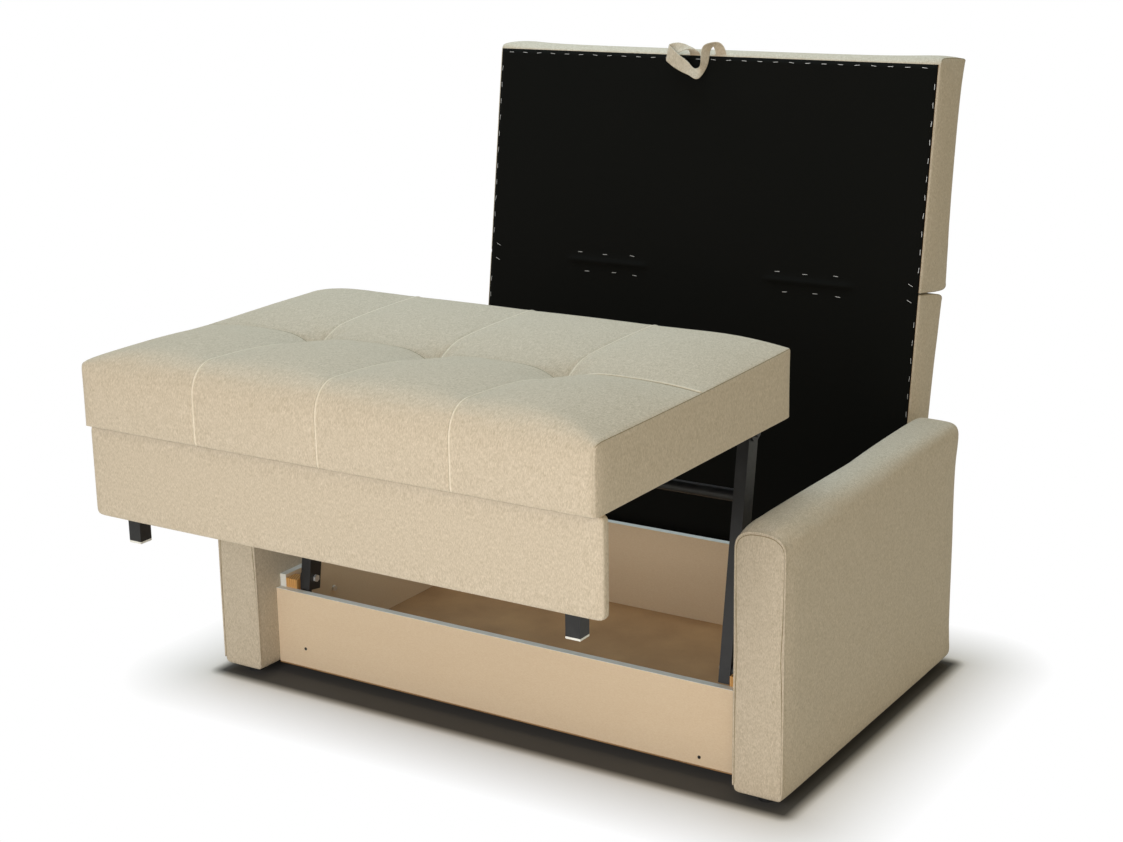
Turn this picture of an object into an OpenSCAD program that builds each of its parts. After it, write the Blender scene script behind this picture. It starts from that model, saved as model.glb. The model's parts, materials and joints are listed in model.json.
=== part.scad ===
// Two-seat sofa bed with a storage box, stored half open: the seat is in mid swing and the
// upper back section is unfolded. X runs across, Y runs to the back, Z is up from the floor.

/* [Overall] */
// Width over the armrests
overall_w = 1400; // [1300:10:1800]
// Gap under the armrests, taken up by the glides
floor_gap = 20; // [16:1:40]

/* [Armrests] */
// Thickness of one armrest
armrest_w = 110; // [100:1:160]
// Depth of the armrests, front to back
armrest_depth = 856; // [840:1:960]
// Height of the straight sides above the bottom
armrest_side_h = 493; // [460:1:560]
// Rise of the arched top at the front seam
armrest_arch_h = 42; // [20:1:60]
// Extra height of the padded top behind the front seam
armrest_puff_h = 22; // [5:1:30]
// Thickness of the padding and cover on the armrest frame
armrest_pad = 12; // [8:1:20]

/* [Storage box] */
// Thickness of the chipboard panels
board_t = 16; // [12:1:22]
// Set-back of the front panel from the front of the armrests
box_front_y = 62; // [40:1:100]
// Depth of the box over its front and rear panels
box_depth = 711; // [690:1:780]
// Height of the front panel
box_front_h = 175.5; // [150:0.5:180]
// Height of the side and rear panels
box_side_h = 204.5; // [200:0.5:230]
// Thickness of the hardboard floor
box_floor_t = 3; // [3:0.5:6]
// Thickness of the edge bands
band_t = 1; // [0.5:0.1:2]

/* [Swing arms] */
// Length of a swing arm between its pivots
swing_len = 472; // [440:1:480]
// Backward lean of the arms in the stored pose
swing_lean = 8.7; // [0:0.1:20]
// Width of the arm tube, across the sofa
swing_tube_w = 25; // [20:1:30]
// Depth of the arm tube
swing_tube_d = 38; // [30:1:38]
// Wall of the arm tube
swing_tube_wall = 2; // [1.5:0.5:3]
// Diameter of the cross tube
cross_tube_d = 25; // [16:1:30]
// Diameter of the pivot bolts
pivot_bolt_d = 10; // [8:1:12]

/* [Seat] */
// Depth of the seat
seat_depth = 740; // [700:1:760]
// Height of the seat over its crown
seat_h = 150; // [130:1:170]
// Gap between the seat and each armrest
seat_side_gap = 4; // [3:0.5:8]
// Height of the padded apron below the seat
apron_h = 187; // [150:1:200]
// Thickness of the padded apron
apron_t = 26; // [20:1:34]
// Side of the square front legs
leg_w = 30; // [24:1:36]

/* [Back] */
// Backward lean of the back
back_lean = 7.9; // [4:0.1:12]
// Length of the upper back section
upper_len = 512; // [440:1:512]
// Length of the lower back section
lower_len = 645; // [640:1:660]
// Thickness of the upper back section
upper_t = 163; // [120:1:163]
// Thickness of the lower back section
lower_t = 146; // [120:1:163]
// Gap between the back and each armrest
back_side_gap = 16; // [8:1:30]

/* [Hidden] */
$fn = 48;

// Clearances
bolt_clear = 0.05;
soft_clear = 0.3;
cut_over = 1;
leg_floor_clear = 1;

// Shared x positions, from the middle of the sofa outwards
gap_half = overall_w / 2 - armrest_w;
box_half = gap_half - soft_clear;
side_inner_x = box_half - board_t;
batten_w = 30;
batten_inner_x = side_inner_x - batten_w;
plate_t = 3;
plate_inner_x = batten_inner_x - plate_t;
washer_t = 1.3;
tube_outer_x = plate_inner_x - washer_t;
tube_inner_x = tube_outer_x - swing_tube_w;
nut_t = 6;
nut_w_share = 1.7;

// Box heights and depths
box_floor_lift = 0.5;
box_z = floor_gap + box_floor_lift + box_floor_t;
box_floor_z = box_z - box_floor_t;
box_rear_y = box_front_y + box_depth;
box_glide_d = 40;
box_glide_in = 60;
screw_head_d = 7;
screw_head_t = 0.8;
// Places of the screws as shares of the box's half width and of its front panel's height
screw_place_shares = [[-0.87, 0.248], [0.824, 0.1]];
batten_d = 32;
batten_drop = 8;

// Swing geometry: the arms lie level and rearwards when closed, level and forwards when open
swing_pivot_in = 30;
swing_over_panel = 3;
swing_pivot_y = box_front_y + board_t + swing_pivot_in;
swing_pivot_z = box_z + box_front_h + swing_tube_d / 2 + swing_over_panel;
swing_foot = 26;
swing_under_seat = 1;
seat_drop = swing_tube_d / 2 + swing_under_seat;
seat_pivot_y = swing_pivot_y + swing_len * sin(swing_lean);
seat_pivot_z = swing_pivot_z + swing_len * cos(swing_lean);
cross_up_share = 0.73;
plate_r = 17;
lower_plate_drop = 70;
upper_plate_rise = 52;
plate_tail_w = 34;

// Seat, measured from its front and its underside
seat_half = gap_half - seat_side_gap;
seat_pivot_from_rear = 76.4;
seat_pivot_s = seat_depth - seat_pivot_from_rear;
seat_front_y = seat_pivot_y - seat_pivot_s;
seat_z = seat_pivot_z + seat_drop;
seat_pad = 12;
seat_rail_h = 56;
seat_rail_t = 30;
cloth_t = 1;
spring_wire = 4;
spring_count = 5;
spring_waves = 14;
spring_amp = 24;
clip_w = 18;
clip_h = 7;
deck_room = cloth_t + seat_rail_h + clip_h + soft_clear;
apron_back = 19;
apron_round = 12;
apron_board_t = 12;
apron_board_in = 7;
leg_in = 62;
leg_plate = 58;
leg_plate_t = 3;
leg_cap_t = 4;
leg_block_h = 40;
leg_len = swing_pivot_z + seat_drop - leg_floor_clear;

// Seat cushion form
seat_roll_front = 46;
seat_roll_side = 12;
seat_crown = 8;
seat_puff = 14;
seat_tuft_deep = 30;
seat_tuft_r = 62;
seat_draw_in = 5;
seat_seam_in = 5;
seat_panels = 4;
seat_rows = 2;

// Back, measured from the fold: u up the black face, n out of it towards the cushion
back_w = 2 * (gap_half - back_side_gap);
fold_out = 3;
section_gap = 2;
back_wrap = 12;
back_side_wrap = 5;
back_rail_w = 40;
back_rail_t = 24;
belt_w = 50;
belt_t = 1.5;
belt_count = 5;
webbing_w = 190;
webbing_u = 46;
webbing_t = 1.5;
webbing_x_shares = [-0.2, 0.263];
webbing_x = [for (share = webbing_x_shares) share * back_w];
fold_rod_d = 2;
fold_loop_t = 0.75;
fold_tab_u = 0.3;
fold_tab_t = 0.6;
back_roll = 24;
back_crown = 12;
back_draw_in = 4;
staple_len = 12;
staple_t = 0.6;
staple_w = 1;
staple_step = 40;
staple_in = 8;
staple_side_in = 4;
staple_fold_in = 20;
staple_fold_u = 18;
hinge_side_in = 103.7;
hinge_x = side_inner_x - hinge_side_in;
hinge_fore = 12;
hinge_from_foot = 33;
hinge_behind_box = 49;
hinge_below_top = 5.5;
hinge_pin_d = 10;
hinge_ear_r = 11;
hinge_ear_t = 4;
hinge_plate_w = 44;
hinge_plate_u = 90;
hinge_gap = 0.6;
strap_w = 24;
strap_t = 2;
strap_x = -12;

// Armrest details
arm_frame_t = 22;
arm_board_t = 9;
arm_skin_t = 3;
arm_cloth_t = 1;
arm_inset = 8;
arm_glide_d = 34;
arm_end_in = 3;
arm_bolt_d = 8;
arm_bolt_len = 34;
arm_bolt_clear = 0.3;
arm_bolt_h = 120;
arm_bolt_y = 180;

// The back stands on its hinges behind the box, and the fold lies up the back from them
hinge_y = box_rear_y + hinge_behind_box;
hinge_z = box_z + box_side_h - hinge_below_top;
hinge_u = hinge_from_foot - lower_len;
fold_y = hinge_y - hinge_u * sin(back_lean) + hinge_fore * cos(back_lean);
fold_h = hinge_z - hinge_u * cos(back_lean) - hinge_fore * sin(back_lean);

// The plan is centred between the seat front and the rear corner of the back
back_rear_y = fold_y + upper_len * sin(back_lean) + upper_t * cos(back_lean);
plan_mid_y = (seat_front_y + back_rear_y) / 2;

fabric = "#cdbfa5";
fabric_shade = "#b3a78d";
chipboard = "#d2b493";
hardboard = "#8a6238";
pine = "#d9a564";
black_steel = "#26282a";
black_cloth = "#151612";
black_plastic = "#1b1b1c";
steel = "#b4b6b8";
pale_band = "#d5dbd8";

// Placement helpers
module placed() translate([0, -plan_mid_y, 0]) children();
module both_sides() {
  children();
  mirror([1, 0, 0]) children();
}
module at_side(side) {
  if (side > 0) children();
  else mirror([1, 0, 0]) children();
}
module on_seat() placed() translate([0, seat_front_y, seat_z]) children();
module on_swing() placed()
  translate([0, swing_pivot_y, swing_pivot_z]) rotate([-swing_lean, 0, 0]) children();
module on_back() placed() translate([0, fold_y, fold_h]) rotate([-back_lean, 0, 0]) children();

// A box given by its low corner and its high corner
module span(low, high) translate(low) cube(high - low);

// A cylinder along X from x0 to x1, centred at y and z
module rod_x(x0, x1, y, z, d) translate([x0, y, z]) rotate([0, 90, 0]) cylinder(h = x1 - x0, d = d);

// A profile drawn in the YZ plane and given the thickness x0 to x1
module plate_x(x0, x1) translate([x0, 0, 0]) rotate([90, 0, 90]) linear_extrude(x1 - x0) children();

// A hexagon nut or bolt head along X
module hex_x(x0, x1, y, z, d)
  translate([x0, y, z]) rotate([0, 90, 0]) cylinder(h = x1 - x0, d = d * nut_w_share, $fn = 6);

// Cushion form
// Places of the grid lines in one sewn panel, closer together at its seams
panel_line_shares = [0, 0.05, 0.14, 0.3, 0.5, 0.7, 0.86, 0.95];
function grid_lines(size, panels) =
  concat([for (p = [0:panels - 1]) for (c = panel_line_shares) size * (p + c) / panels], [size]);
// How far a rolled edge of the given radius drops at a distance from that edge
function roll_drop(d, r) = d >= r ? 0 : r - sqrt(max(r * r - (r - d) * (r - d), 0));
function dome(share) = sqrt(max(4 * share * (1 - share), 0));
function inside(v, size) = min(v, size - v);
// Place within a sewn panel, 0 at one seam and 1 at the next
last_share = 0.999;
function panel_place(share, panels) = share * panels - floor(min(share, last_share) * panels);

// A closed cushion over a grid of x and y lines: its top height and the pull of its sides are functions
wall_shares = [1, 0.75, 0.5, 0.25, 0];
module pillow(xs, ys, top, pull) {
  nx = len(xs);
  ny = len(ys);
  w = xs[nx - 1];
  l = ys[ny - 1];
  rim = concat(
    [for (i = [0:nx - 1]) [i, 0]], [for (j = [1:ny - 1]) [nx - 1, j]],
    [for (i = [nx - 2:-1:0]) [i, ny - 1]], [for (j = [ny - 2:-1:1]) [0, j]]);
  nr = len(rim);
  grid = [for (i = [0:nx - 1]) for (j = [0:ny - 1]) [xs[i] - w / 2, ys[j], top(xs[i], ys[j])]];
  walls = [for (k = [1:len(wall_shares) - 1]) for (r = rim)
    let(x = xs[r[0]], y = ys[r[1]], p = pull(x, y, wall_shares[k]))
    [x - w / 2 + p[0], y + p[1], top(x, y) * wall_shares[k]]];
  ng = nx * ny;
  top_faces = [for (i = [0:nx - 2]) for (j = [0:ny - 2])
    let(a = i * ny + j, b = a + 1, c = a + ny + 1, d = a + ny) each [[a, b, c], [a, c, d]]];
  function ring(k, r) = k == 0 ? rim[r][0] * ny + rim[r][1] : ng + (k - 1) * nr + r;
  wall_faces = [for (k = [0:len(wall_shares) - 2]) for (r = [0:nr - 1])
    let(q = (r + 1) % nr, a = ring(k, r), b = ring(k, q), c = ring(k + 1, q), d = ring(k + 1, r))
    each [[a, b, c], [a, c, d]]];
  last = len(wall_shares) - 1;
  centre = ng + last * nr;
  base_faces = [for (r = [0:nr - 1]) [ring(last, r), ring(last, (r + 1) % nr), centre]];
  polyhedron(concat(grid, walls, [[0, l / 2, 0]]), concat(top_faces, wall_faces, base_faces));
}

// Seat cushion: four by two sewn panels with three tufts on the middle seam
module seat_form() {
  w = 2 * seat_half;
  flat_h = seat_h - seat_crown - seat_puff;
  tufts = [for (k = [1:seat_panels - 1]) [w * k / seat_panels, seat_depth / seat_rows]];
  top = function(x, y)
    let(fx = x / w, fy = y / seat_depth,
      puff = seat_puff * dome(panel_place(fx, seat_panels)) * dome(panel_place(fy, seat_rows)),
      crown = seat_crown * dome(fx) * dome(fy),
      sink = [for (t = tufts) let(dx = x - t[0], dy = y - t[1])
        seat_tuft_deep * exp(-(dx * dx + dy * dy) / (seat_tuft_r * seat_tuft_r))])
    flat_h + puff + crown - max(sink) - roll_drop(inside(x, w), seat_roll_side)
      - roll_drop(inside(y, seat_depth), seat_roll_front);
  pull = function(x, y, share)
    let(fx = x / w, fy = y / seat_depth, at = panel_place(fx, seat_panels),
      seam = seat_seam_in * (1 - dome(at)) * share,
      side = seat_draw_in * dome(fy) * dome(share), end = seat_draw_in * dome(fx) * dome(share) + seam)
    [x <= 0 ? side : x >= w ? -side : 0, y <= 0 ? end : y >= seat_depth ? -end : 0];
  pillow(grid_lines(w, seat_panels), grid_lines(seat_depth, seat_rows), top, pull);
}

// Back cushion: one plain crowned panel with rolled edges
module back_form(len, thick) {
  flat_h = thick - back_crown;
  top = function(x, y)
    flat_h + back_crown * dome(x / back_w) * dome(y / len)
      - roll_drop(inside(x, back_w), back_roll) - roll_drop(inside(y, len), back_roll);
  pull = function(x, y, share)
    let(draw = back_draw_in * dome(share), side = draw * dome(y / len), end = draw * dome(x / back_w))
    [x <= 0 ? side : x >= back_w ? -side : 0, y <= 0 ? end : y >= len ? -end : 0];
  rotate([-90, 0, 0]) pillow(grid_lines(back_w, seat_rows), grid_lines(len, seat_rows), top, pull);
}

// Armrest: its arched outline is carried from front to back, fuller behind the front seam
arch_steps = 14;
// Places along the depth, and how full the padding is there
arm_ring_shares = [[0, 0], [0.008, 0.35], [0.02, 0.65], [0.05, 0.9], [0.12, 1], [0.3, 1], [0.5, 0.96],
  [0.7, 0.98], [0.86, 1], [0.93, 0.9], [0.975, 0.5], [0.993, 0.15], [1, -0.1]];
module armrest_form() {
  half = armrest_w / 2;
  outline = function(full)
    let(out = arm_end_in * (1 - max(full, 0)), rise = armrest_arch_h + armrest_puff_h * full)
    concat([[gap_half, floor_gap]],
      [for (k = [0:arch_steps]) let(a = 180 - 180 * k / arch_steps)
        [gap_half + half + (half - out / 2) * cos(a)
            - out / 2 * (1 + cos(a)) / 2 + out / 2 * (1 - cos(a)) / 2,
          floor_gap + armrest_side_h + rise * sin(a)]],
      [[gap_half + armrest_w - out, floor_gap]]);
  rings = [for (r = arm_ring_shares) [for (p = outline(r[1])) [p[0], armrest_depth * r[0], p[1]]]];
  n = len(rings[0]);
  m = len(rings);
  walls = [for (k = [0:m - 2]) for (i = [0:n - 1])
    let(j = (i + 1) % n, a = k * n + i, b = k * n + j, c = (k + 1) * n + j, d = (k + 1) * n + i)
    each [[a, d, c], [a, c, b]]];
  front = [for (i = [1:n - 2]) [0, i, i + 1]];
  rear = [for (i = [1:n - 2]) [(m - 1) * n, (m - 1) * n + i + 1, (m - 1) * n + i]];
  polyhedron([for (r = rings) each r], concat(walls, front, rear));
}

// Storage box
module box_front_panel() color(chipboard) placed()
  span([-box_half, box_front_y, box_z], [box_half, box_front_y + board_t, box_z + box_front_h - band_t]);
module box_side(side) color(chipboard) placed() at_side(side) difference() {
  span([side_inner_x, box_front_y + board_t, box_z], [box_half, box_rear_y, box_z + box_side_h - band_t]);
  arm_bolt_places() rod_x(side_inner_x - cut_over, box_half + cut_over, 0, 0, arm_bolt_d + arm_bolt_clear);
}
module box_side_left() box_side(-1);
module box_side_right() box_side(1);
module box_rear_panel() color(chipboard) placed()
  span([-side_inner_x, box_rear_y - board_t, box_z], [side_inner_x, box_rear_y, box_z + box_side_h - band_t]);
module box_floor() color(hardboard) placed()
  span([-box_half, box_front_y, box_floor_z], [box_half, box_rear_y, box_z]);
module box_edge_bands() color(pale_band) placed() {
  front_top = box_z + box_front_h;
  side_top = box_z + box_side_h;
  span([-box_half, box_front_y, front_top - band_t], [box_half, box_front_y + board_t, front_top]);
  span([-side_inner_x, box_rear_y - board_t, side_top - band_t], [side_inner_x, box_rear_y, side_top]);
  both_sides() {
    span([side_inner_x, box_front_y + board_t - band_t, side_top - band_t], [box_half, box_rear_y, side_top]);
    span([side_inner_x, box_front_y + board_t - band_t, front_top],
      [box_half, box_front_y + board_t, side_top - band_t]);
  }
}
module box_glides() color(black_plastic) placed() both_sides()
  for (y = [box_front_y + box_glide_in, box_rear_y - box_glide_in])
    translate([box_half - box_glide_in, y, 0]) cylinder(h = box_floor_z, d = box_glide_d);
// Dark flat-headed screws in the front panel
module box_screws() color(black_steel) placed()
  for (place = screw_place_shares)
    translate([box_half * place[0], box_front_y - screw_head_t, box_z + box_front_h * place[1]])
      rotate([-90, 0, 0]) cylinder(h = screw_head_t, d = screw_head_d);
module pivot_battens() color(pine) placed() both_sides()
  span([batten_inner_x, box_front_y + board_t, box_z],
    [side_inner_x, box_front_y + board_t + batten_d, box_z + box_side_h - batten_drop]);

// Lower pivots of the swing arms
module arm_brackets() color(black_steel) placed() both_sides() difference() {
  plate_x(plate_inner_x, batten_inner_x) {
    translate([swing_pivot_y, swing_pivot_z]) circle(plate_r);
    translate([swing_pivot_y - plate_tail_w / 2, swing_pivot_z - lower_plate_drop])
      square([plate_tail_w, lower_plate_drop]);
  }
  rod_x(plate_inner_x - cut_over, batten_inner_x + cut_over, swing_pivot_y, swing_pivot_z,
    pivot_bolt_d + 2 * bolt_clear);
}
module arm_pivot_studs() color(steel) placed() both_sides()
  rod_x(tube_inner_x - nut_t, batten_inner_x, swing_pivot_y, swing_pivot_z, pivot_bolt_d);
// A nut with a washer on each side of the arm
module pivot_nuts(y, z) {
  difference() {
    hex_x(tube_inner_x - nut_t, tube_inner_x - soft_clear, y, z, pivot_bolt_d);
    rod_x(tube_inner_x - nut_t - cut_over, tube_inner_x, y, z, pivot_bolt_d + 2 * bolt_clear);
  }
  difference() {
    rod_x(tube_outer_x + bolt_clear, plate_inner_x, y, z, pivot_bolt_d * nut_w_share);
    rod_x(tube_outer_x - cut_over, plate_inner_x + cut_over, y, z, pivot_bolt_d + 2 * bolt_clear);
  }
}
module arm_pivot_nuts() color(steel) placed() both_sides() pivot_nuts(swing_pivot_y, swing_pivot_z);

// Armrests
module arm_bolt_places()
  for (y = [box_front_y + arm_bolt_y, box_rear_y - arm_bolt_y])
    translate([0, y, box_z + arm_bolt_h]) children();
arm_core_x0 = gap_half + armrest_pad;
arm_core_x1 = gap_half + armrest_w - armrest_pad - arm_end_in;
arm_core_y0 = armrest_pad;
arm_core_y1 = armrest_depth - armrest_pad;
arm_core_z0 = floor_gap;
arm_core_z1 = floor_gap + armrest_side_h;
module armrest_frame(side) color(pine) placed() at_side(side) {
  x0 = arm_core_x0 + arm_board_t;
  x1 = arm_core_x1 - arm_skin_t;
  span([x0, arm_core_y0, arm_core_z0], [x1, arm_core_y0 + arm_frame_t, arm_core_z1]);
  span([x0, arm_core_y1 - arm_frame_t, arm_core_z0], [x1, arm_core_y1, arm_core_z1]);
  for (z = [arm_core_z0, arm_core_z1 - arm_frame_t])
    span([x0, arm_core_y0 + arm_frame_t, z], [x1, arm_core_y1 - arm_frame_t, z + arm_frame_t]);
}
module armrest_left_frame() armrest_frame(-1);
module armrest_right_frame() armrest_frame(1);
module armrest_boards(side) color(chipboard) placed() at_side(side) {
  difference() {
    span([arm_core_x0, arm_core_y0, arm_core_z0], [arm_core_x0 + arm_board_t, arm_core_y1, arm_core_z1]);
    arm_bolt_places() rod_x(arm_core_x0 - cut_over, arm_core_x1, 0, 0, arm_bolt_d + arm_bolt_clear);
  }
  span([arm_core_x1 - arm_skin_t, arm_core_y0, arm_core_z0], [arm_core_x1, arm_core_y1, arm_core_z1]);
}
module armrest_left_boards() armrest_boards(-1);
module armrest_right_boards() armrest_boards(1);
module armrest_cover(side) color(fabric) placed() at_side(side) difference() {
  armrest_form();
  span([arm_core_x0, arm_core_y0, arm_core_z0 - cut_over], [arm_core_x1, arm_core_y1, arm_core_z1]);
  arm_bolt_places() rod_x(gap_half - cut_over, arm_core_x0 + cut_over, 0, 0, arm_bolt_d + arm_bolt_clear);
}
module armrest_left_cover() armrest_cover(-1);
module armrest_right_cover() armrest_cover(1);
module armrest_base_cloths() color(black_cloth) placed() both_sides()
  span([gap_half + arm_inset, arm_inset, floor_gap - arm_cloth_t],
    [gap_half + armrest_w - arm_inset, armrest_depth - arm_inset, floor_gap]);
module armrest_glides() color(black_plastic) placed() both_sides()
  for (y = [arm_glide_d + arm_inset, armrest_depth - arm_glide_d - arm_inset])
    translate([gap_half + armrest_w / 2, y, 0]) cylinder(h = floor_gap - arm_cloth_t, d = arm_glide_d);
module armrest_bolts() color(steel) placed() both_sides() arm_bolt_places() {
  hex_x(side_inner_x - nut_t, side_inner_x, 0, 0, arm_bolt_d);
  rod_x(side_inner_x, side_inner_x + arm_bolt_len, 0, 0, arm_bolt_d);
}

// Hinges that carry the back on the rear panel
module back_hinge_brackets() color(black_steel) placed() both_sides() difference() {
  union() {
    plate_x(hinge_x - hinge_ear_t, hinge_x) {
      translate([hinge_y, hinge_z]) circle(hinge_ear_r);
      translate([box_rear_y, hinge_z - hinge_ear_r]) square([hinge_y - box_rear_y, 2 * hinge_ear_r]);
    }
    span([hinge_x - hinge_plate_w, box_rear_y, hinge_z - hinge_plate_u],
      [hinge_x, box_rear_y + plate_t, hinge_z - hinge_ear_r]);
    span([hinge_x - hinge_ear_t, box_rear_y, hinge_z - 2 * hinge_ear_r],
      [hinge_x, box_rear_y + plate_t, hinge_z + hinge_ear_r]);
  }
  rod_x(hinge_x - hinge_ear_t - cut_over, hinge_x + cut_over, hinge_y, hinge_z, hinge_pin_d + 2 * bolt_clear);
}
module back_hinge_pins() color(steel) placed() both_sides() {
  rod_x(hinge_x - hinge_ear_t - nut_t / 2, hinge_x + hinge_gap + hinge_ear_t + nut_t / 2,
    hinge_y, hinge_z, hinge_pin_d);
  rod_x(hinge_x - hinge_ear_t - nut_t / 2, hinge_x - hinge_ear_t,
    hinge_y, hinge_z, hinge_pin_d * nut_w_share);
}

// Swing arms
module swing_arm(side) color(black_steel) on_swing() at_side(side) difference() {
  plate_x(tube_inner_x, tube_outer_x) {
    translate([0, swing_len]) circle(swing_tube_d / 2);
    translate([-swing_tube_d / 2, -swing_foot]) square([swing_tube_d, swing_len + swing_foot]);
  }
  span([tube_inner_x + swing_tube_wall, -swing_tube_d / 2 + swing_tube_wall, -swing_foot - cut_over],
    [tube_outer_x - swing_tube_wall, swing_tube_d / 2 - swing_tube_wall, swing_len]);
  for (z = [0, swing_len])
    rod_x(tube_inner_x - cut_over, tube_outer_x + cut_over, 0, z, pivot_bolt_d + 2 * bolt_clear);
}
module swing_arm_left() swing_arm(-1);
module swing_arm_right() swing_arm(1);
module cross_tube() color(black_steel) on_swing() difference() {
  rod_x(-tube_inner_x, tube_inner_x, 0, swing_len * cross_up_share, cross_tube_d);
  rod_x(-tube_inner_x - cut_over, tube_inner_x + cut_over, 0, swing_len * cross_up_share,
    cross_tube_d - 2 * swing_tube_wall);
}
module swing_arm_plugs() color(black_plastic) on_swing() both_sides()
  span([tube_inner_x + swing_tube_wall, -swing_tube_d / 2 + swing_tube_wall, -swing_foot],
    [tube_outer_x - swing_tube_wall, swing_tube_d / 2 - swing_tube_wall, -swing_foot + swing_foot / 2]);

// Seat
seat_rail_x = seat_half - seat_pad;
module seat_frame() color(pine) on_seat() {
  z1 = cloth_t + seat_rail_h;
  rear = seat_depth - seat_pad;
  both_sides() span([batten_inner_x, seat_pad, cloth_t], [seat_rail_x, rear, z1]);
  span([-batten_inner_x, seat_pad, cloth_t], [batten_inner_x, seat_pad + seat_rail_t, z1]);
  span([-batten_inner_x, rear - seat_rail_t, cloth_t], [batten_inner_x, rear, z1]);
}
spring_y0 = seat_pad + seat_rail_t / 2;
spring_y1 = seat_depth - seat_pad - seat_rail_t / 2;
function spring_x(k) = -batten_inner_x + 2 * batten_inner_x * (k + 0.5) / spring_count;
// One zigzag wire, as the outline of a square wave
module spring_wave() {
  pitch = (spring_y1 - spring_y0) / (2 * spring_waves);
  mid = [for (k = [0:2 * spring_waves - 1]) let(s = k % 2 == 0 ? 1 : -1, y = spring_y0 + pitch * k)
    each [[s * spring_amp, y, s], [s * spring_amp, y + pitch, s]]];
  half = spring_wire / 2;
  function turned(k) = (k % 2 == 1 ? 1 : -1) * half * mid[k][2];
  right = [for (k = [0:len(mid) - 1]) [mid[k][0] + half, mid[k][1] + turned(k)]];
  left = [for (k = [len(mid) - 1:-1:0]) [mid[k][0] - half, mid[k][1] - turned(k)]];
  polygon(concat(right, left));
}
module seat_springs() color(steel) on_seat() for (k = [0:spring_count - 1])
  translate([spring_x(k), 0, cloth_t + seat_rail_h]) linear_extrude(spring_wire) spring_wave();
module seat_spring_clips() color(black_plastic) on_seat() for (k = [0:spring_count - 1])
  for (y = [spring_y0 - clip_w / 2, spring_y1 - clip_w / 2]) difference() {
    span([spring_x(k) - clip_w, y, cloth_t + seat_rail_h],
      [spring_x(k) + clip_w, y + clip_w, cloth_t + seat_rail_h + clip_h]);
    span([spring_x(k) - clip_w - cut_over, y - cut_over, cloth_t + seat_rail_h - cut_over],
      [spring_x(k) + clip_w + cut_over, y + clip_w + cut_over,
        cloth_t + seat_rail_h + spring_wire + soft_clear]);
  }
module seat_cushion() color(fabric) on_seat() difference() {
  seat_form();
  span([-seat_rail_x, seat_pad, -cut_over], [seat_rail_x, seat_depth - seat_pad, deck_room]);
}
module seat_base_cloth() color(black_cloth) on_seat() difference() {
  span([-seat_rail_x, seat_pad, 0], [seat_rail_x, seat_depth - seat_pad, cloth_t]);
  both_sides() span([plate_inner_x - cut_over, seat_pivot_s - plate_r - cut_over, -cut_over],
    [batten_inner_x + cut_over, seat_pivot_s + plate_r + cut_over, cloth_t + cut_over]);
}
module seat_hinge_plates() color(black_steel) on_seat() both_sides() difference() {
  plate_x(plate_inner_x, batten_inner_x) {
    translate([seat_pivot_s, -seat_drop]) circle(plate_r);
    translate([seat_pivot_s - plate_tail_w / 2, -seat_drop])
      square([plate_tail_w, seat_drop + upper_plate_rise]);
  }
  rod_x(plate_inner_x - cut_over, batten_inner_x + cut_over,
    seat_pivot_s, -seat_drop, pivot_bolt_d + 2 * bolt_clear);
}
module seat_pivot_bolts() color(steel) on_seat() both_sides() {
  rod_x(tube_inner_x - nut_t, batten_inner_x, seat_pivot_s, -seat_drop, pivot_bolt_d);
  hex_x(batten_inner_x, batten_inner_x + nut_t, seat_pivot_s, -seat_drop, pivot_bolt_d);
}
module seat_pivot_nuts() color(steel) on_seat() both_sides() pivot_nuts(seat_pivot_s, -seat_drop);
leg_s = apron_back + apron_t + soft_clear;
leg_x = seat_half - leg_in;
module seat_leg_blocks() color(pine) on_seat() both_sides()
  span([leg_x - leg_plate, seat_pad + seat_rail_t, cloth_t],
    [leg_x, leg_s + leg_plate, cloth_t + leg_block_h]);

// Padded apron: a board in a cover with rounded lower corners
module apron_outline(inset) {
  x = seat_half - inset;
  z = -apron_h + inset;
  translate([-x, z + apron_round]) square([2 * x, apron_h - inset - apron_round]);
  translate([-x + apron_round, z]) square([2 * (x - apron_round), apron_round]);
  for (s = [-1, 1]) translate([s * (x - apron_round), z + apron_round]) circle(apron_round);
}
module apron_slab(inset, y0, y1)
  translate([0, y1, 0]) rotate([90, 0, 0]) linear_extrude(y1 - y0) apron_outline(inset);
apron_board_s = apron_back + (apron_t - apron_board_t) / 2;
module apron_board() color(chipboard) on_seat()
  apron_slab(apron_board_in, apron_board_s, apron_board_s + apron_board_t);
module apron_cover() color(fabric) on_seat() difference() {
  apron_slab(0, apron_back, apron_back + apron_t);
  apron_slab(apron_board_in, apron_board_s, apron_board_s + apron_board_t);
}
module front_leg(side) color(black_steel) on_seat() at_side(side) {
  span([leg_x - leg_plate, leg_s, -leg_plate_t], [leg_x, leg_s + leg_plate, 0]);
  span([leg_x - leg_w, leg_s, -leg_len + leg_cap_t], [leg_x, leg_s + leg_w, -leg_plate_t]);
}
module front_leg_left() front_leg(-1);
module front_leg_right() front_leg(1);
module leg_caps() color(pale_band) on_seat() both_sides()
  span([leg_x - leg_w, leg_s, -leg_len], [leg_x, leg_s + leg_w, -leg_len + leg_cap_t]);

// Back sections. Each is drawn with u0 at the fold and u1 at its far end
back_half = back_w / 2;
black_half = back_half - back_side_wrap;
function section_dir(upper) = upper ? 1 : -1;
function section_len(upper) = upper ? upper_len : lower_len;
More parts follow.
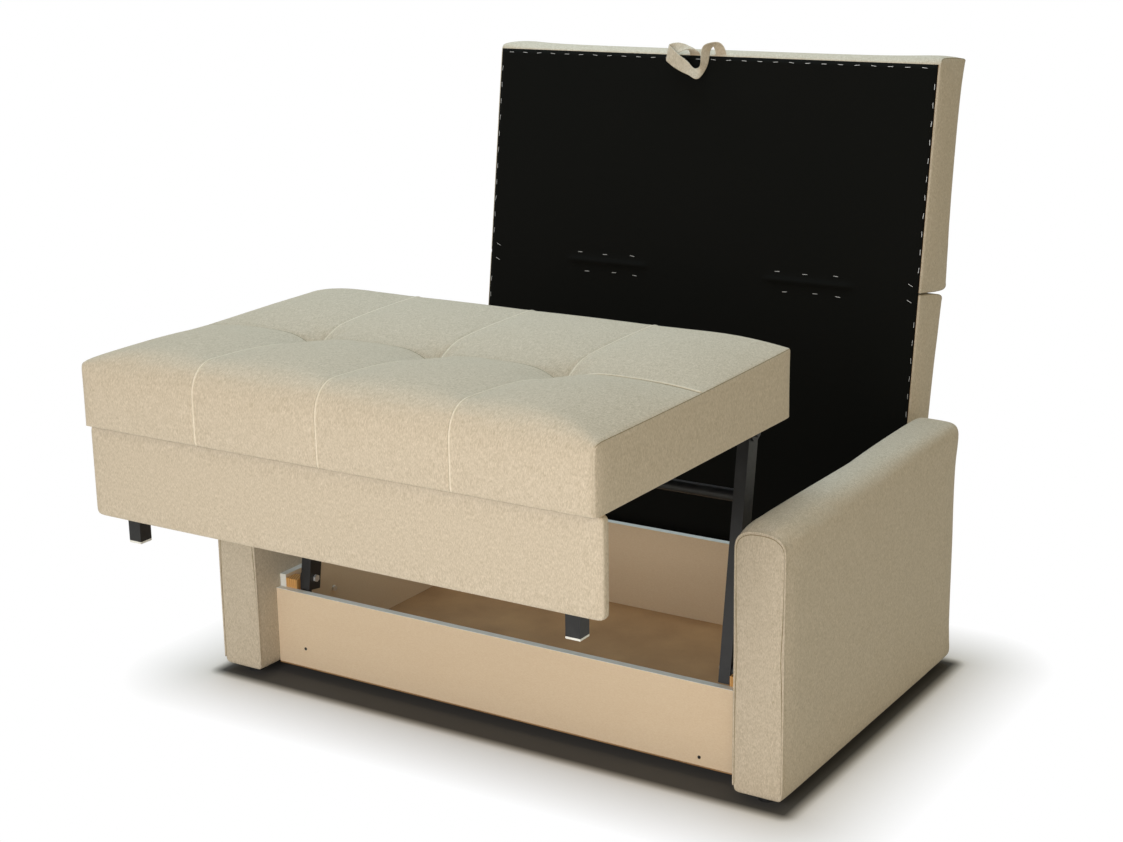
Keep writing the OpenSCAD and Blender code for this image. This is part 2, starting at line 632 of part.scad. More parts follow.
// A box in a section: from near to far along u, mirrored for the lower section
module section_span(upper, low, high) {
  if (upper) span(low, high);
  else span([low[0], low[1], -high[2]], [high[0], high[1], -low[2]]);
}
module back_frame(upper) color(pine) on_back() difference() {
  n0 = cloth_t;
  n1 = cloth_t + back_rail_t;
  u0 = section_gap + cloth_t;
  u1 = section_len(upper) - back_wrap;
  union() {
    section_span(upper, [-black_half, n0, u0], [black_half, n1, u0 + back_rail_w]);
    section_span(upper, [-black_half, n0, u1 - back_rail_w], [black_half, n1, u1]);
    both_sides() section_span(upper, [black_half - back_rail_w, n0, u0], [black_half, n1, u1]);
  }
  for (x = webbing_x)
    section_span(upper, [x - webbing_w / 2, n0 - cut_over, 0],
      [x + webbing_w / 2, n0 + webbing_t, webbing_u]);
}
module back_upper_frame() back_frame(true);
module back_lower_frame() back_frame(false);
module back_belts(upper) color(black_cloth) on_back() for (k = [0:belt_count - 1]) {
  x = -black_half + 2 * black_half * (k + 0.5) / belt_count;
  section_span(upper, [x - belt_w / 2, cloth_t + back_rail_t, section_gap + cloth_t],
    [x + belt_w / 2, cloth_t + back_rail_t + belt_t, section_len(upper) - back_wrap]);
}
module back_upper_belts() back_belts(true);
module back_lower_belts() back_belts(false);
module back_cushion(upper) color(fabric) on_back() difference() {
  len = section_len(upper) - section_gap;
  translate([0, 0, upper ? section_gap + len : -section_gap]) back_form(len, upper ? upper_t : lower_t);
  section_span(upper, [-black_half, -cut_over, section_gap + cloth_t],
    [black_half, cloth_t + back_rail_t + belt_t, section_len(upper) - back_wrap]);
  section_span(upper, [-black_half, -cut_over, 0], [black_half, cloth_t, section_len(upper) - back_wrap]);
  for (x = webbing_x)
    section_span(upper, [x - webbing_w / 2, -cut_over, 0],
      [x + webbing_w / 2, cloth_t + webbing_t, webbing_u]);
}
module back_upper_cushion() back_cushion(true);
module back_lower_cushion() back_cushion(false);
module back_cloth(upper) color(black_cloth) on_back()
  section_span(upper, [-black_half, 0, section_gap / 2],
    [black_half, cloth_t, section_len(upper) - back_wrap]);
module back_upper_cloth() back_cloth(true);
module back_lower_cloth() back_cloth(false);

// Webbing over the fold: both halves end in sewn loops that share one rod, the upper loop in the middle third
module fold_loop(upper, x0, x1) {
  bore_r = fold_rod_d / 2 + bolt_clear;
  difference() {
    union() {
      rod_x(x0, x1, -fold_out, 0, 2 * (bore_r + fold_loop_t));
      section_span(upper, [x0, -fold_out + bore_r, fold_tab_u],
        [x1, cloth_t + webbing_t, fold_tab_u + fold_tab_t]);
    }
    rod_x(x0 - cut_over, x1 + cut_over, -fold_out, 0, 2 * bore_r);
  }
}
module fold_webbing(upper) color(black_cloth) on_back() for (x = webbing_x) {
  third = webbing_w / 3;
  section_span(upper, [x - webbing_w / 2, cloth_t, fold_tab_u],
    [x + webbing_w / 2, cloth_t + webbing_t, webbing_u]);
  if (upper) fold_loop(upper, x - third / 2 + soft_clear, x + third / 2 - soft_clear);
  else for (s = [-1, 1]) fold_loop(upper, x + s * third - third / 2, x + s * third + third / 2);
}
module fold_webbing_upper() fold_webbing(true);
module fold_webbing_lower() fold_webbing(false);
module fold_rods() color(steel) on_back() for (x = webbing_x)
  rod_x(x - webbing_w / 2, x + webbing_w / 2, -fold_out, 0, fold_rod_d);

// Staples: rows round the edge of the cloth, one at each side of the fold and groups over the webbing
// Turns in degrees: each staple's own comes from its place in the row
staple_turn_most = 6;
staple_turn_step = 137.5;
staple_fold_turn = 25;
function staple_turn(k) = staple_turn_most * sin(k * staple_turn_step);
module staple(x, u, turn) translate([x, -staple_t, u]) rotate([0, turn, 0])
  translate([-staple_len / 2, 0, -staple_w / 2]) cube([staple_len, staple_t, staple_w]);
// Offsets of one webbing group: shares of the webbing's width and height
lower_group_share = 0.3;
group_shares = [[-0.42, 0.42], [-0.05, 0.4], [0.35, 0.46], [-0.3, 0.86], [0.1, 0.8], [0.4, 0.84]];
module back_staples(upper) color(steel) on_back() {
  dir = section_dir(upper);
  far = section_len(upper) - back_wrap - (upper ? staple_in : staple_side_in);
  across = floor(2 * (black_half - staple_in) / staple_step);
  along = floor(far / staple_step);
  for (k = [0:across - 1])
    staple(-black_half + staple_in + staple_step * (k + 0.5), dir * far, staple_turn(k));
  for (s = [-1, 1]) for (k = [1:along - 1])
    staple(s * (black_half - staple_side_in), dir * (far - staple_step * k), 90 + staple_turn(k + 3 * s));
  for (s = [-1, 1]) staple(s * (black_half - staple_fold_in), dir * staple_fold_u, staple_fold_turn);
  for (x = webbing_x) for (k = [0:2]) {
    g = group_shares[upper ? k : k + 3];
    u = webbing_u * (upper ? g[1] : g[1] - lower_group_share);
    staple(x + webbing_w * g[0], dir * u, staple_turn(k + x / webbing_w));
  }
}
module back_upper_staples() back_staples(true);
module back_lower_staples() back_staples(false);

// Plates on the lower section that turn on the hinge pins
module back_hinge_plates() color(black_steel) on_back() both_sides() difference() {
  x0 = hinge_x + hinge_gap;
  union() {
    plate_x(x0, x0 + hinge_ear_t) {
      translate([-hinge_fore, hinge_u]) circle(hinge_ear_r);
      translate([-hinge_fore, hinge_u - hinge_ear_r]) square([hinge_fore - soft_clear, 2 * hinge_ear_r]);
    }
    span([x0, -plate_t - soft_clear, hinge_u - hinge_ear_r],
      [x0 + hinge_plate_w, -soft_clear, hinge_u + hinge_plate_u]);
  }
  rod_x(x0 - cut_over, x0 + hinge_ear_t + cut_over, -hinge_fore, hinge_u, hinge_pin_d + 2 * bolt_clear);
}

// Pull strap: a band of cover fabric laid in a heart-shaped loop at the top edge
// Outline of the loop's centre line, as shares of the strap's own reach across and down
strap_reach = 76;
strap_low_u = 50;
strap_high_u = 20;
strap_line_shares = [[-0.3, -0.1], [-0.75, 0.35], [-1.1, 0.2], [-1.15, -0.35], [-0.1, -1],
  [0.4, -0.1], [0.45, 0.6], [0.75, 0.2], [0.85, -0.1]];
// A point of the strap's edge, on the given side of the centre line
function unit(v) = v / norm(v);
function across(v) = [-v[1], v[0]];
function strap_edge(line, k, side) =
  let(last = len(line) - 1, d0 = unit(line[max(k, 1)] - line[max(k, 1) - 1]),
    d1 = unit(line[min(k, last - 1) + 1] - line[min(k, last - 1)]), m = across(d0 + d1))
  line[k] + m * side * strap_w / 4 / (m * across(d0));
module pull_strap() color(fabric_shade) on_back() {
  top = upper_len - back_wrap;
  line = [for (p = strap_line_shares)
    [strap_x + strap_reach * p[0], top + (p[1] < 0 ? strap_low_u : strap_high_u) * p[1]]];
  last = len(line) - 1;
  outline = concat([for (k = [0:last]) strap_edge(line, k, 1)],
    [for (k = [last:-1:0]) strap_edge(line, k, -1)]);
  translate([0, -staple_t - soft_clear, 0]) rotate([90, 0, 0]) linear_extrude(strap_t) polygon(outline);
}

box_front_panel();
box_side_left();
box_side_right();
box_rear_panel();
box_floor();
box_edge_bands();
box_glides();
box_screws();
pivot_battens();
arm_brackets();
arm_pivot_studs();
arm_pivot_nuts();
armrest_left_frame();
armrest_right_frame();
armrest_left_boards();
armrest_right_boards();
armrest_left_cover();
armrest_right_cover();
armrest_base_cloths();
armrest_glides();
armrest_bolts();
back_hinge_brackets();
back_hinge_pins();
swing_arm_left();
swing_arm_right();
cross_tube();
swing_arm_plugs();
seat_frame();
seat_springs();
seat_spring_clips();
seat_cushion();
seat_base_cloth();
seat_hinge_plates();
seat_pivot_bolts();
seat_pivot_nuts();
seat_leg_blocks();
apron_board();
apron_cover();
front_leg_left();
front_leg_right();
leg_caps();
back_lower_frame();
back_lower_belts();
back_lower_cushion();
back_lower_cloth();
back_lower_staples();
fold_webbing_lower();
fold_rods();
back_hinge_plates();
back_upper_frame();
back_upper_belts();
back_upper_cushion();
back_upper_cloth();
back_upper_staples();
fold_webbing_upper();
pull_strap();
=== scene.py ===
"""A two-seat sofa bed, half open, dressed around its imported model.

Everything is in metres, in the model's own frame: X runs across, Y to the back and Z up from the floor.
"""
import json
import math

import bpy
import numpy as np
from mathutils import Matrix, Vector
from mathutils.bvhtree import BVHTree


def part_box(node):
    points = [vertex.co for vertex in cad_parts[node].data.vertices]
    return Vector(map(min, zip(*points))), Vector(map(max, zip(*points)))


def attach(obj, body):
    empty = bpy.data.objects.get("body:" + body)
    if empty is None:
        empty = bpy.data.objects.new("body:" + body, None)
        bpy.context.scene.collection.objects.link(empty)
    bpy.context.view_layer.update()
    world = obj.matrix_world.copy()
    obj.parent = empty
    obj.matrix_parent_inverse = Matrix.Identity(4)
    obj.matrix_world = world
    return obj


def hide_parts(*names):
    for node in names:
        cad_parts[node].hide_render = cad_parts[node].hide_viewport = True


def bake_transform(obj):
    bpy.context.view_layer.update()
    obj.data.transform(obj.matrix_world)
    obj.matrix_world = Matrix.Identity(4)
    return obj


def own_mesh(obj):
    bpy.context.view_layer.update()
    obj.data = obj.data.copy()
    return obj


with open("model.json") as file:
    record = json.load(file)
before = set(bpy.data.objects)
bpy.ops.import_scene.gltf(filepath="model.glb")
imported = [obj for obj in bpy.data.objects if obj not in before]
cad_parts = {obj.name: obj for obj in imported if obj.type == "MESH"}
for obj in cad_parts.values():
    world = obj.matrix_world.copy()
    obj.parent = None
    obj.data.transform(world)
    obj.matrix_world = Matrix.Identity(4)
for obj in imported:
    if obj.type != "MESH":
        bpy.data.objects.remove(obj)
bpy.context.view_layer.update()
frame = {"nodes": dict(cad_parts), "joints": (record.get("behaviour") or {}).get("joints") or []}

# The camera stands to the right of the sofa at head height and looks down on it.
# Its place and angles come from the box, the armrests and the back in the photograph.
CAMERA_PLACE = (2.164665, -3.404450, 1.713005)
CAMERA_YAW, CAMERA_PITCH, CAMERA_ROLL = (math.radians(a) for a in (32.42072, -15.41272, -0.83258))
forward = np.array([-math.sin(CAMERA_YAW) * math.cos(CAMERA_PITCH),
                    math.cos(CAMERA_YAW) * math.cos(CAMERA_PITCH), math.sin(CAMERA_PITCH)])
level_right = np.cross(forward, (0, 0, 1))
level_right /= np.linalg.norm(level_right)
level_up = np.cross(level_right, forward)
camera_right = math.cos(CAMERA_ROLL) * level_right + math.sin(CAMERA_ROLL) * level_up
camera_up = math.cos(CAMERA_ROLL) * level_up - math.sin(CAMERA_ROLL) * level_right
camera_data = bpy.data.cameras.new("camera")
camera_data.sensor_width = 36
camera_data.lens = 62.514
camera = bpy.data.objects.new("camera", camera_data)
turn = Matrix(np.column_stack([camera_right, camera_up, -forward]).tolist()).to_4x4()
camera.matrix_world = Matrix.Translation(CAMERA_PLACE) @ turn
bpy.context.scene.collection.objects.link(camera)
bpy.context.scene.camera = camera
bpy.context.scene.view_settings.view_transform = "Standard"


# The room is a white studio: a pale floor that keeps the shadow and fades into a white backdrop,
# a big soft lamp in front, a weak low one on the right and a cool one overhead.
def paint(code):
    """An sRGB hex colour as linear red, green, blue and alpha."""
    parts = [int(code[i:i + 2], 16) / 255 for i in (1, 3, 5)]
    return tuple(p / 12.92 if p <= 0.04045 else ((p + 0.055) / 1.055) ** 2.4 for p in parts) + (1.0,)


def add(tree, kind, settings=None, links=None):
    """Adds one node. A setting is a property if the node has one of that name, or else an input's value."""
    node = tree.nodes.new("ShaderNode" + kind)
    # Properties come first, because some of them decide which inputs there are
    for key, value in (settings or {}).items():
        if isinstance(key, str) and hasattr(node, key):
            setattr(node, key, value)
    for key, value in (settings or {}).items():
        if isinstance(key, int) or not hasattr(node, key):
            node.inputs[key].default_value = value
    for key, source in (links or {}).items():
        tree.links.new(source, node.inputs[key])
    return node


def blended(tree, factor, first, second):
    """A colour between two, each a hex code or a socket."""
    node = add(tree, "Mix", {"data_type": "RGBA"}, {0: factor})
    for number, colour in ((6, first), (7, second)):
        if isinstance(colour, str):
            node.inputs[number].default_value = paint(colour)
        else:
            tree.links.new(colour, node.inputs[number])
    return node.outputs[2]


def stepped(tree, value, stops):
    """A value between 0 and 1 that follows straight lines through stops, each a place up to 1 and a value."""
    node = add(tree, "ValToRGB", None, {"Fac": value})
    ramp = node.color_ramp
    for element, (place, level) in zip((ramp.elements[0], ramp.elements[1]), (stops[0], stops[-1])):
        element.position, element.color = place, (level, level, level, 1)
    for place, level in stops[1:-1]:
        ramp.elements.new(place).color = (level, level, level, 1)
    return node.outputs["Color"]


def mesh_piece(name, points, faces, material=None, smooth=True):
    """A piece with one mesh, from points and from an array or a list of faces."""
    mesh = bpy.data.meshes.new(name)
    faces = faces.tolist() if isinstance(faces, np.ndarray) else faces
    mesh.from_pydata(np.asarray(points, float).tolist(), [], faces)
    mesh.validate()
    if smooth:
        mesh.shade_smooth()
    if material:
        mesh.materials.append(material)
    piece = bpy.data.objects.new(name, mesh)
    bpy.context.scene.collection.objects.link(piece)
    return piece


# Half the sofa's footprint on the floor, across and deep, and where its middle lies
FOOT_HALF, FOOT_MIDDLE_Y = (0.70, 0.428), 0.095


def studio_floor():
    """Matt white paper with a painted contact shadow: darker under and just around the sofa's footprint. Away
    from the sofa's footprint it fades to plain white, so that no horizon shows.
    """
    material = bpy.data.materials.new("studio_floor")
    material.use_nodes = True
    tree = material.node_tree
    tree.nodes.clear()
    where = add(tree, "VectorMath", {"operation": "SUBTRACT", 1: (0, FOOT_MIDDLE_Y, 0)},
                {0: add(tree, "TexCoord").outputs["Object"]})
    spread = add(tree, "VectorMath", {"operation": "ABSOLUTE"}, {0: where.outputs["Vector"]})
    beyond = add(tree, "VectorMath", {"operation": "SUBTRACT", 1: FOOT_HALF + (0,)},
                 {0: spread.outputs["Vector"]})
    beyond = add(tree, "VectorMath", {"operation": "MAXIMUM", 1: (0, 0, 0)}, {0: beyond.outputs["Vector"]})
    far = add(tree, "VectorMath", {"operation": "LENGTH"}, {0: beyond.outputs["Vector"]})
    # Distances in metres and the share of white there
    fade = stepped(tree, far.outputs["Value"], [(0.018, 0.0), (0.045, 0.28), (0.23, 1.0)])
    # The paper's grey falls from 0.88 to 0.12 towards and under the footprint: a painted contact shadow
    painted_shadow_tone = stepped(tree, far.outputs["Value"], [(0.004, 0.12), (0.035, 0.88)])
    path = add(tree, "LightPath")
    seen = add(tree, "Math", {"operation": "MULTIPLY"}, {0: fade, 1: path.outputs["Is Camera Ray"]})
    painted_shadow_grey = add(tree, "CombineColor", None, {i: painted_shadow_tone for i in range(3)})
    paper = add(tree, "BsdfDiffuse", None, {"Color": painted_shadow_grey.outputs["Color"]})
    white = add(tree, "Emission", {"Color": (1, 1, 1, 1), "Strength": 1.0})
    mix = add(tree, "MixShader", None,
              {"Fac": seen.outputs["Value"], 1: paper.outputs[0], 2: white.outputs[0]})
    add(tree, "OutputMaterial", None, {"Surface": mix.outputs[0]})
    return material


FLOOR_SIZE = 14.0
floor_corners = np.array([(-1, -1, 0), (1, -1, 0), (1, 1, 0), (-1, 1, 0)]) * FLOOR_SIZE / 2
floor = mesh_piece("studio_floor", floor_corners, [(0, 1, 2, 3)], studio_floor(), smooth=False)

world = bpy.data.worlds.new("studio")
bpy.context.scene.world = world
world.use_nodes = True
world.node_tree.nodes.clear()
ray = add(world.node_tree, "LightPath")
shown = add(world.node_tree, "Math", {"operation": "MAXIMUM"},
            {0: ray.outputs["Is Camera Ray"], 1: ray.outputs["Is Glossy Ray"]})
shown = add(world.node_tree, "Math", {"operation": "MAXIMUM"},
            {0: shown.outputs["Value"], 1: ray.outputs["Is Transmission Ray"]})
WORLD_LIGHT = 0.375
strength = add(world.node_tree, "MapRange", {"To Min": WORLD_LIGHT, "To Max": 1.0},
               {"Value": shown.outputs["Value"]})
warmth = blended(world.node_tree, shown.outputs["Value"], "#ffeec8", "#ffffff")
sky = add(world.node_tree, "Background", None, {"Color": warmth, "Strength": strength.outputs["Result"]})
add(world.node_tree, "OutputWorld", None, {"Surface": sky.outputs[0]})


def lamp(name, place, aim, size, watts, colour):
    """A square soft box at one point that faces another."""
    data = bpy.data.lights.new(name, "AREA")
    data.size = size
    data.energy = watts
    data.color = paint(colour)[:3]
    box = bpy.data.objects.new(name, data)
    away = np.array(place, float) - np.array(aim, float)
    away /= np.linalg.norm(away)
    side = np.cross((0, 1, 0) if abs(away[2]) > 0.98 else (0, 0, 1), away)
    side /= np.linalg.norm(side)
    turned = Matrix(np.column_stack([side, np.cross(away, side), away]).tolist()).to_4x4()
    box.matrix_world = Matrix.Translation(place) @ turned
    bpy.context.scene.collection.objects.link(box)


lamp("key_lamp", (0.25, -4.3, 1.4), (0.05, -0.3, 0.35), size=2.2, watts=69, colour="#fffcfd")
lamp("low_lamp", (2.2, -3.2, 0.8), (0.0, 0.2, 0.3), size=1.0, watts=14, colour="#fff4e6")
lamp("top_lamp", (-0.4, 0.6, 3.6), (0, 0, 0.6), size=2.6, watts=72, colour="#c8e6fb")


# The storage box under the seat is raw chipboard, sawn and nailed together, with its top edges banded.
# Its floor is brown hardboard, it stands on four round plastic glides, and two dark screws show in front.
def surface(name):
    """A new material with one Principled shader. Returns it, its tree and that shader."""
    material = bpy.data.materials.new(name)
    material.use_nodes = True
    tree = material.node_tree
    tree.nodes.clear()
    shader = add(tree, "BsdfPrincipled")
    add(tree, "OutputMaterial", None, {"Surface": shader.outputs[0]})
    return material, tree, shader


def stretched(tree, scale):
    """Object coordinates, scaled along each axis so that a pattern has its real size there."""
    place = add(tree, "TexCoord").outputs["Object"]
    return add(tree, "Mapping", {"Scale": scale}, {"Vector": place}).outputs["Vector"]


def finish_surface(tree, shader, inputs, height=None, strength=0.0, depth=0.0):
    """Gives a shader's inputs their values or sockets, and its relief a height, a strength and a depth."""
    for name, value in inputs.items():
        if isinstance(value, bpy.types.NodeSocket):
            tree.links.new(value, shader.inputs[name])
        else:
            shader.inputs[name].default_value = value
    if height is not None:
        bump = add(tree, "Bump", {"Strength": strength, "Distance": depth}, {"Height": height})
        tree.links.new(bump.outputs["Normal"], shader.inputs["Normal"])


def chipboard():
    """Sanded particle board: fine pale and dark chips 1 to 4 mm long that lie across, dry and matt."""
    material, tree, shader = surface("raw_chipboard")
    # The larger chips are 4 mm long and 1.6 mm thick
    chips = add(tree, "TexNoise", {"Scale": 1.0, "Detail": 3.0, "Roughness": 0.7},
                {"Vector": stretched(tree, (260, 260, 620))})
    # Pressing leaves bands about 30 mm high and 200 mm long
    bands = add(tree, "TexNoise", {"Scale": 1.0, "Detail": 2.0}, {"Vector": stretched(tree, (5, 5, 34))})
    specks = add(tree, "MapRange", {"From Min": 0.3, "From Max": 0.72}, {"Value": chips.outputs["Fac"]})
    board = blended(tree, specks.outputs["Result"], "#dac3a4", "#ebdac1")
    toned = blended(tree, bands.outputs["Fac"], "#e2ccaf", "#e9d6bb")
    colour = add(tree, "Mix", {"data_type": "RGBA", 0: 0.45}, {6: board, 7: toned}).outputs[2]
    finish_surface(tree, shader, {"Base Color": colour, "Roughness": 0.82, "Specular IOR Level": 0.3},
                   chips.outputs["Fac"], strength=0.25, depth=0.0006)
    return material


def hardboard():
    """Smooth side of brown hardboard: matted fibres up to 2.4 mm wide, cloudy every 110 mm, slightly waxy."""
    material, tree, shader = surface("brown_hardboard")
    place = add(tree, "TexCoord").outputs["Object"]
    fibres = add(tree, "TexNoise", {"Scale": 420.0, "Detail": 4.0, "Roughness": 0.75, "Distortion": 1.5},
                 {"Vector": place})
    clouds = add(tree, "TexNoise", {"Scale": 9.0, "Detail": 3.0}, {"Vector": place})
    clouds = add(tree, "Math", {"operation": "MULTIPLY", 1: 0.45}, {0: clouds.outputs["Fac"]})
    mixed = add(tree, "Math", {"operation": "MULTIPLY_ADD", 1: 0.55},
                {0: fibres.outputs["Fac"], 2: clouds.outputs["Value"]})
    spread = add(tree, "MapRange", {"From Min": 0.3, "From Max": 0.7}, {"Value": mixed.outputs["Value"]})
    colour = blended(tree, spread.outputs["Result"], "#845f3b", "#b1895c")
    finish_surface(tree, shader, {"Base Color": colour, "Roughness": 0.55},
                   fibres.outputs["Fac"], strength=0.2, depth=0.0004)
    return material


def edge_band():
    """Melamine edge band: smooth pale plastic with a low sheen and faint rub marks 17 by 3 mm."""
    material, tree, shader = surface("melamine_edge_band")
    rub = add(tree, "TexNoise", {"Scale": 1.0, "Detail": 4.0}, {"Vector": stretched(tree, (60, 60, 300))})
    colour = blended(tree, rub.outputs["Fac"], "#dfe1dc", "#f1f2ee")
    rough = add(tree, "MapRange", {"To Min": 0.35, "To Max": 0.55}, {"Value": rub.outputs["Fac"]})
    finish_surface(tree, shader, {"Base Color": colour, "Roughness": rough.outputs["Result"]})
    return material


def pine():
    """Sawn pine: growth rings 5 mm apart, drawn out along the piece, orange and dull."""
    material, tree, shader = surface("sawn_pine")
    place = stretched(tree, (1, 1, 0.06))
    warp = add(tree, "TexNoise", {"Scale": 14.0, "Detail": 2.0}, {"Vector": place})
    bent = add(tree, "VectorMath", {"operation": "MULTIPLY_ADD", 1: (0.02, 0.02, 0.02)},
               {0: warp.outputs["Color"], 2: place})
    rings = add(tree, "TexWave", {"wave_type": "RINGS", "rings_direction": "Z", "Scale": 60.0,
                                  "Distortion": 1.5, "Detail": 2.0}, {"Vector": bent.outputs["Vector"]})
    colour = blended(tree, rings.outputs["Fac"], "#dcae6d", "#b9803f")
    saw = add(tree, "TexNoise", {"Scale": 900.0, "Detail": 1.0},
              {"Vector": add(tree, "TexCoord").outputs["Object"]})
    finish_surface(tree, shader, {"Base Color": colour, "Roughness": 0.7},
                   saw.outputs["Fac"], strength=0.3, depth=0.0004)
    return material


def moulded_plastic():
    """Moulded black polypropylene: a spark-eroded grain of 0.7 mm, half matt."""
    material, tree, shader = surface("black_polypropylene")
    grain = add(tree, "TexNoise", {"Scale": 1500.0, "Detail": 2.0},
                {"Vector": add(tree, "TexCoord").outputs["Object"]})
    colour = blended(tree, grain.outputs["Fac"], "#161617", "#1f1f20")
    finish_surface(tree, shader, {"Base Color": colour, "Roughness": 0.45},
                   grain.outputs["Fac"], strength=0.2, depth=0.0002)
    return material


def zinc_plate(name, dark, light):
    """Zinc-plated steel: a passivated skin in clouds of 3 mm between two tones."""
    material, tree, shader = surface(name)
    cloud = add(tree, "TexNoise", {"Scale": 350.0, "Detail": 3.0},
                {"Vector": add(tree, "TexCoord").outputs["Object"]})
    colour = blended(tree, cloud.outputs["Fac"], dark, light)
    rough = add(tree, "MapRange", {"To Min": 0.4, "To Max": 0.62}, {"Value": cloud.outputs["Fac"]})
    finish_surface(tree, shader,
                   {"Base Color": colour, "Roughness": rough.outputs["Result"], "Metallic": 1.0})
    return material


def finish_nodes(material, *names):
    """Gives CAD nodes their material."""
    for name in names:
        mesh = frame["nodes"][name].data
        mesh.materials.clear()
        mesh.materials.append(material)


BOARD, PINE, PLASTIC = chipboard(), pine(), moulded_plastic()
finish_nodes(BOARD, "box_front_panel", "box_side_left", "box_side_right", "box_rear_panel")
finish_nodes(hardboard(), "box_floor")
finish_nodes(edge_band(), "box_edge_bands", "leg_caps")
finish_nodes(PINE, "pivot_battens")
finish_nodes(PLASTIC, "box_glides", "armrest_glides", "swing_arm_plugs")


# Two swing arms of rectangular steel tube carry the seat. They turn on brackets on the pine battens,
# a round tube joins them, and all of it is powder-coated black, with zinc-plated pivots on the box.
def powder_coat():
    """Black powder coat: slight orange peel about 1 mm across, half matt, with dust in clouds of 25 mm."""
    material, tree, shader = surface("black_powder_coat")
    place = add(tree, "TexCoord").outputs["Object"]
    peel = add(tree, "TexNoise", {"Scale": 900.0, "Detail": 1.0}, {"Vector": place})
    dust = add(tree, "TexNoise", {"Scale": 40.0, "Detail": 6.0, "Roughness": 0.7}, {"Vector": place})
    film = add(tree, "MapRange", {"From Min": 0.45, "From Max": 0.75}, {"Value": dust.outputs["Fac"]})
    colour = blended(tree, film.outputs["Result"], "#17181a", "#252627")
    rough = add(tree, "MapRange", {"To Min": 0.38, "To Max": 0.6}, {"Value": film.outputs["Result"]})
    finish_surface(tree, shader, {"Base Color": colour, "Roughness": rough.outputs["Result"]},
                   peel.outputs["Fac"], strength=0.25, depth=0.0002)
    return material


COAT = powder_coat()
ZINC = zinc_plate("zinc_plated_steel", "#cfcecb", "#efeeea")
finish_nodes(COAT, "arm_brackets", "swing_arm_left", "swing_arm_right", "cross_tube", "seat_hinge_plates",
             "front_leg_left", "front_leg_right", "back_hinge_brackets", "back_hinge_plates", "box_screws",
             "seat_pivot_bolts", "seat_pivot_nuts")
finish_nodes(ZINC, "arm_pivot_studs", "arm_pivot_nuts", "armrest_bolts", "back_hinge_pins", "seat_springs",
             "fold_rods")
finish_nodes(zinc_plate("galvanised_staple_wire", "#a09f9b", "#c6c5c0"), "back_lower_staples",
             "back_upper_staples")


# Hidden inside the padding are pine frames, chipboard boards, zigzag springs and elastic belts.
# Black spun-bonded lining is stapled over their open sides.
def lining_cloth():
    """Spun-bonded polypropylene: matt black and slightly cloudy, pressed with a fine 1.5 mm dot pattern."""
    material, tree, shader = surface("black_lining")
    place = add(tree, "TexCoord").outputs["Object"]
    dots = add(tree, "TexVoronoi", {"Scale": 650.0, "feature": "F1"}, {"Vector": place})
    cloud = add(tree, "TexNoise", {"Scale": 3.0, "Detail": 4.0}, {"Vector": place})
    colour = blended(tree, cloud.outputs["Fac"], "#050603", "#0b0a07")
    finish_surface(tree, shader, {"Base Color": colour, "Roughness": 0.9, "Specular IOR Level": 0.12},
                   dots.outputs["Distance"], strength=0.3, depth=0.0003)
    return material


LINING = lining_cloth()
finish_nodes(PINE, "armrest_left_frame", "armrest_right_frame", "seat_frame", "seat_leg_blocks",
             "back_lower_frame", "back_upper_frame")
finish_nodes(BOARD, "armrest_left_boards", "armrest_right_boards", "apron_board")
finish_nodes(PLASTIC, "seat_spring_clips")
finish_nodes(LINING, "armrest_base_cloths", "seat_base_cloth", "back_lower_belts", "back_upper_belts",
             "back_lower_cloth", "back_upper_cloth", "fold_webbing_lower", "fold_webbing_upper")


# The seat is a foam block over springs in a sewn cover: four by two panels, pulled down to the frame at
# three tufts. Top and front are one piece, gussets close the sides, and pale thread shows along the seams.
YARN_PITCH = 0.0024


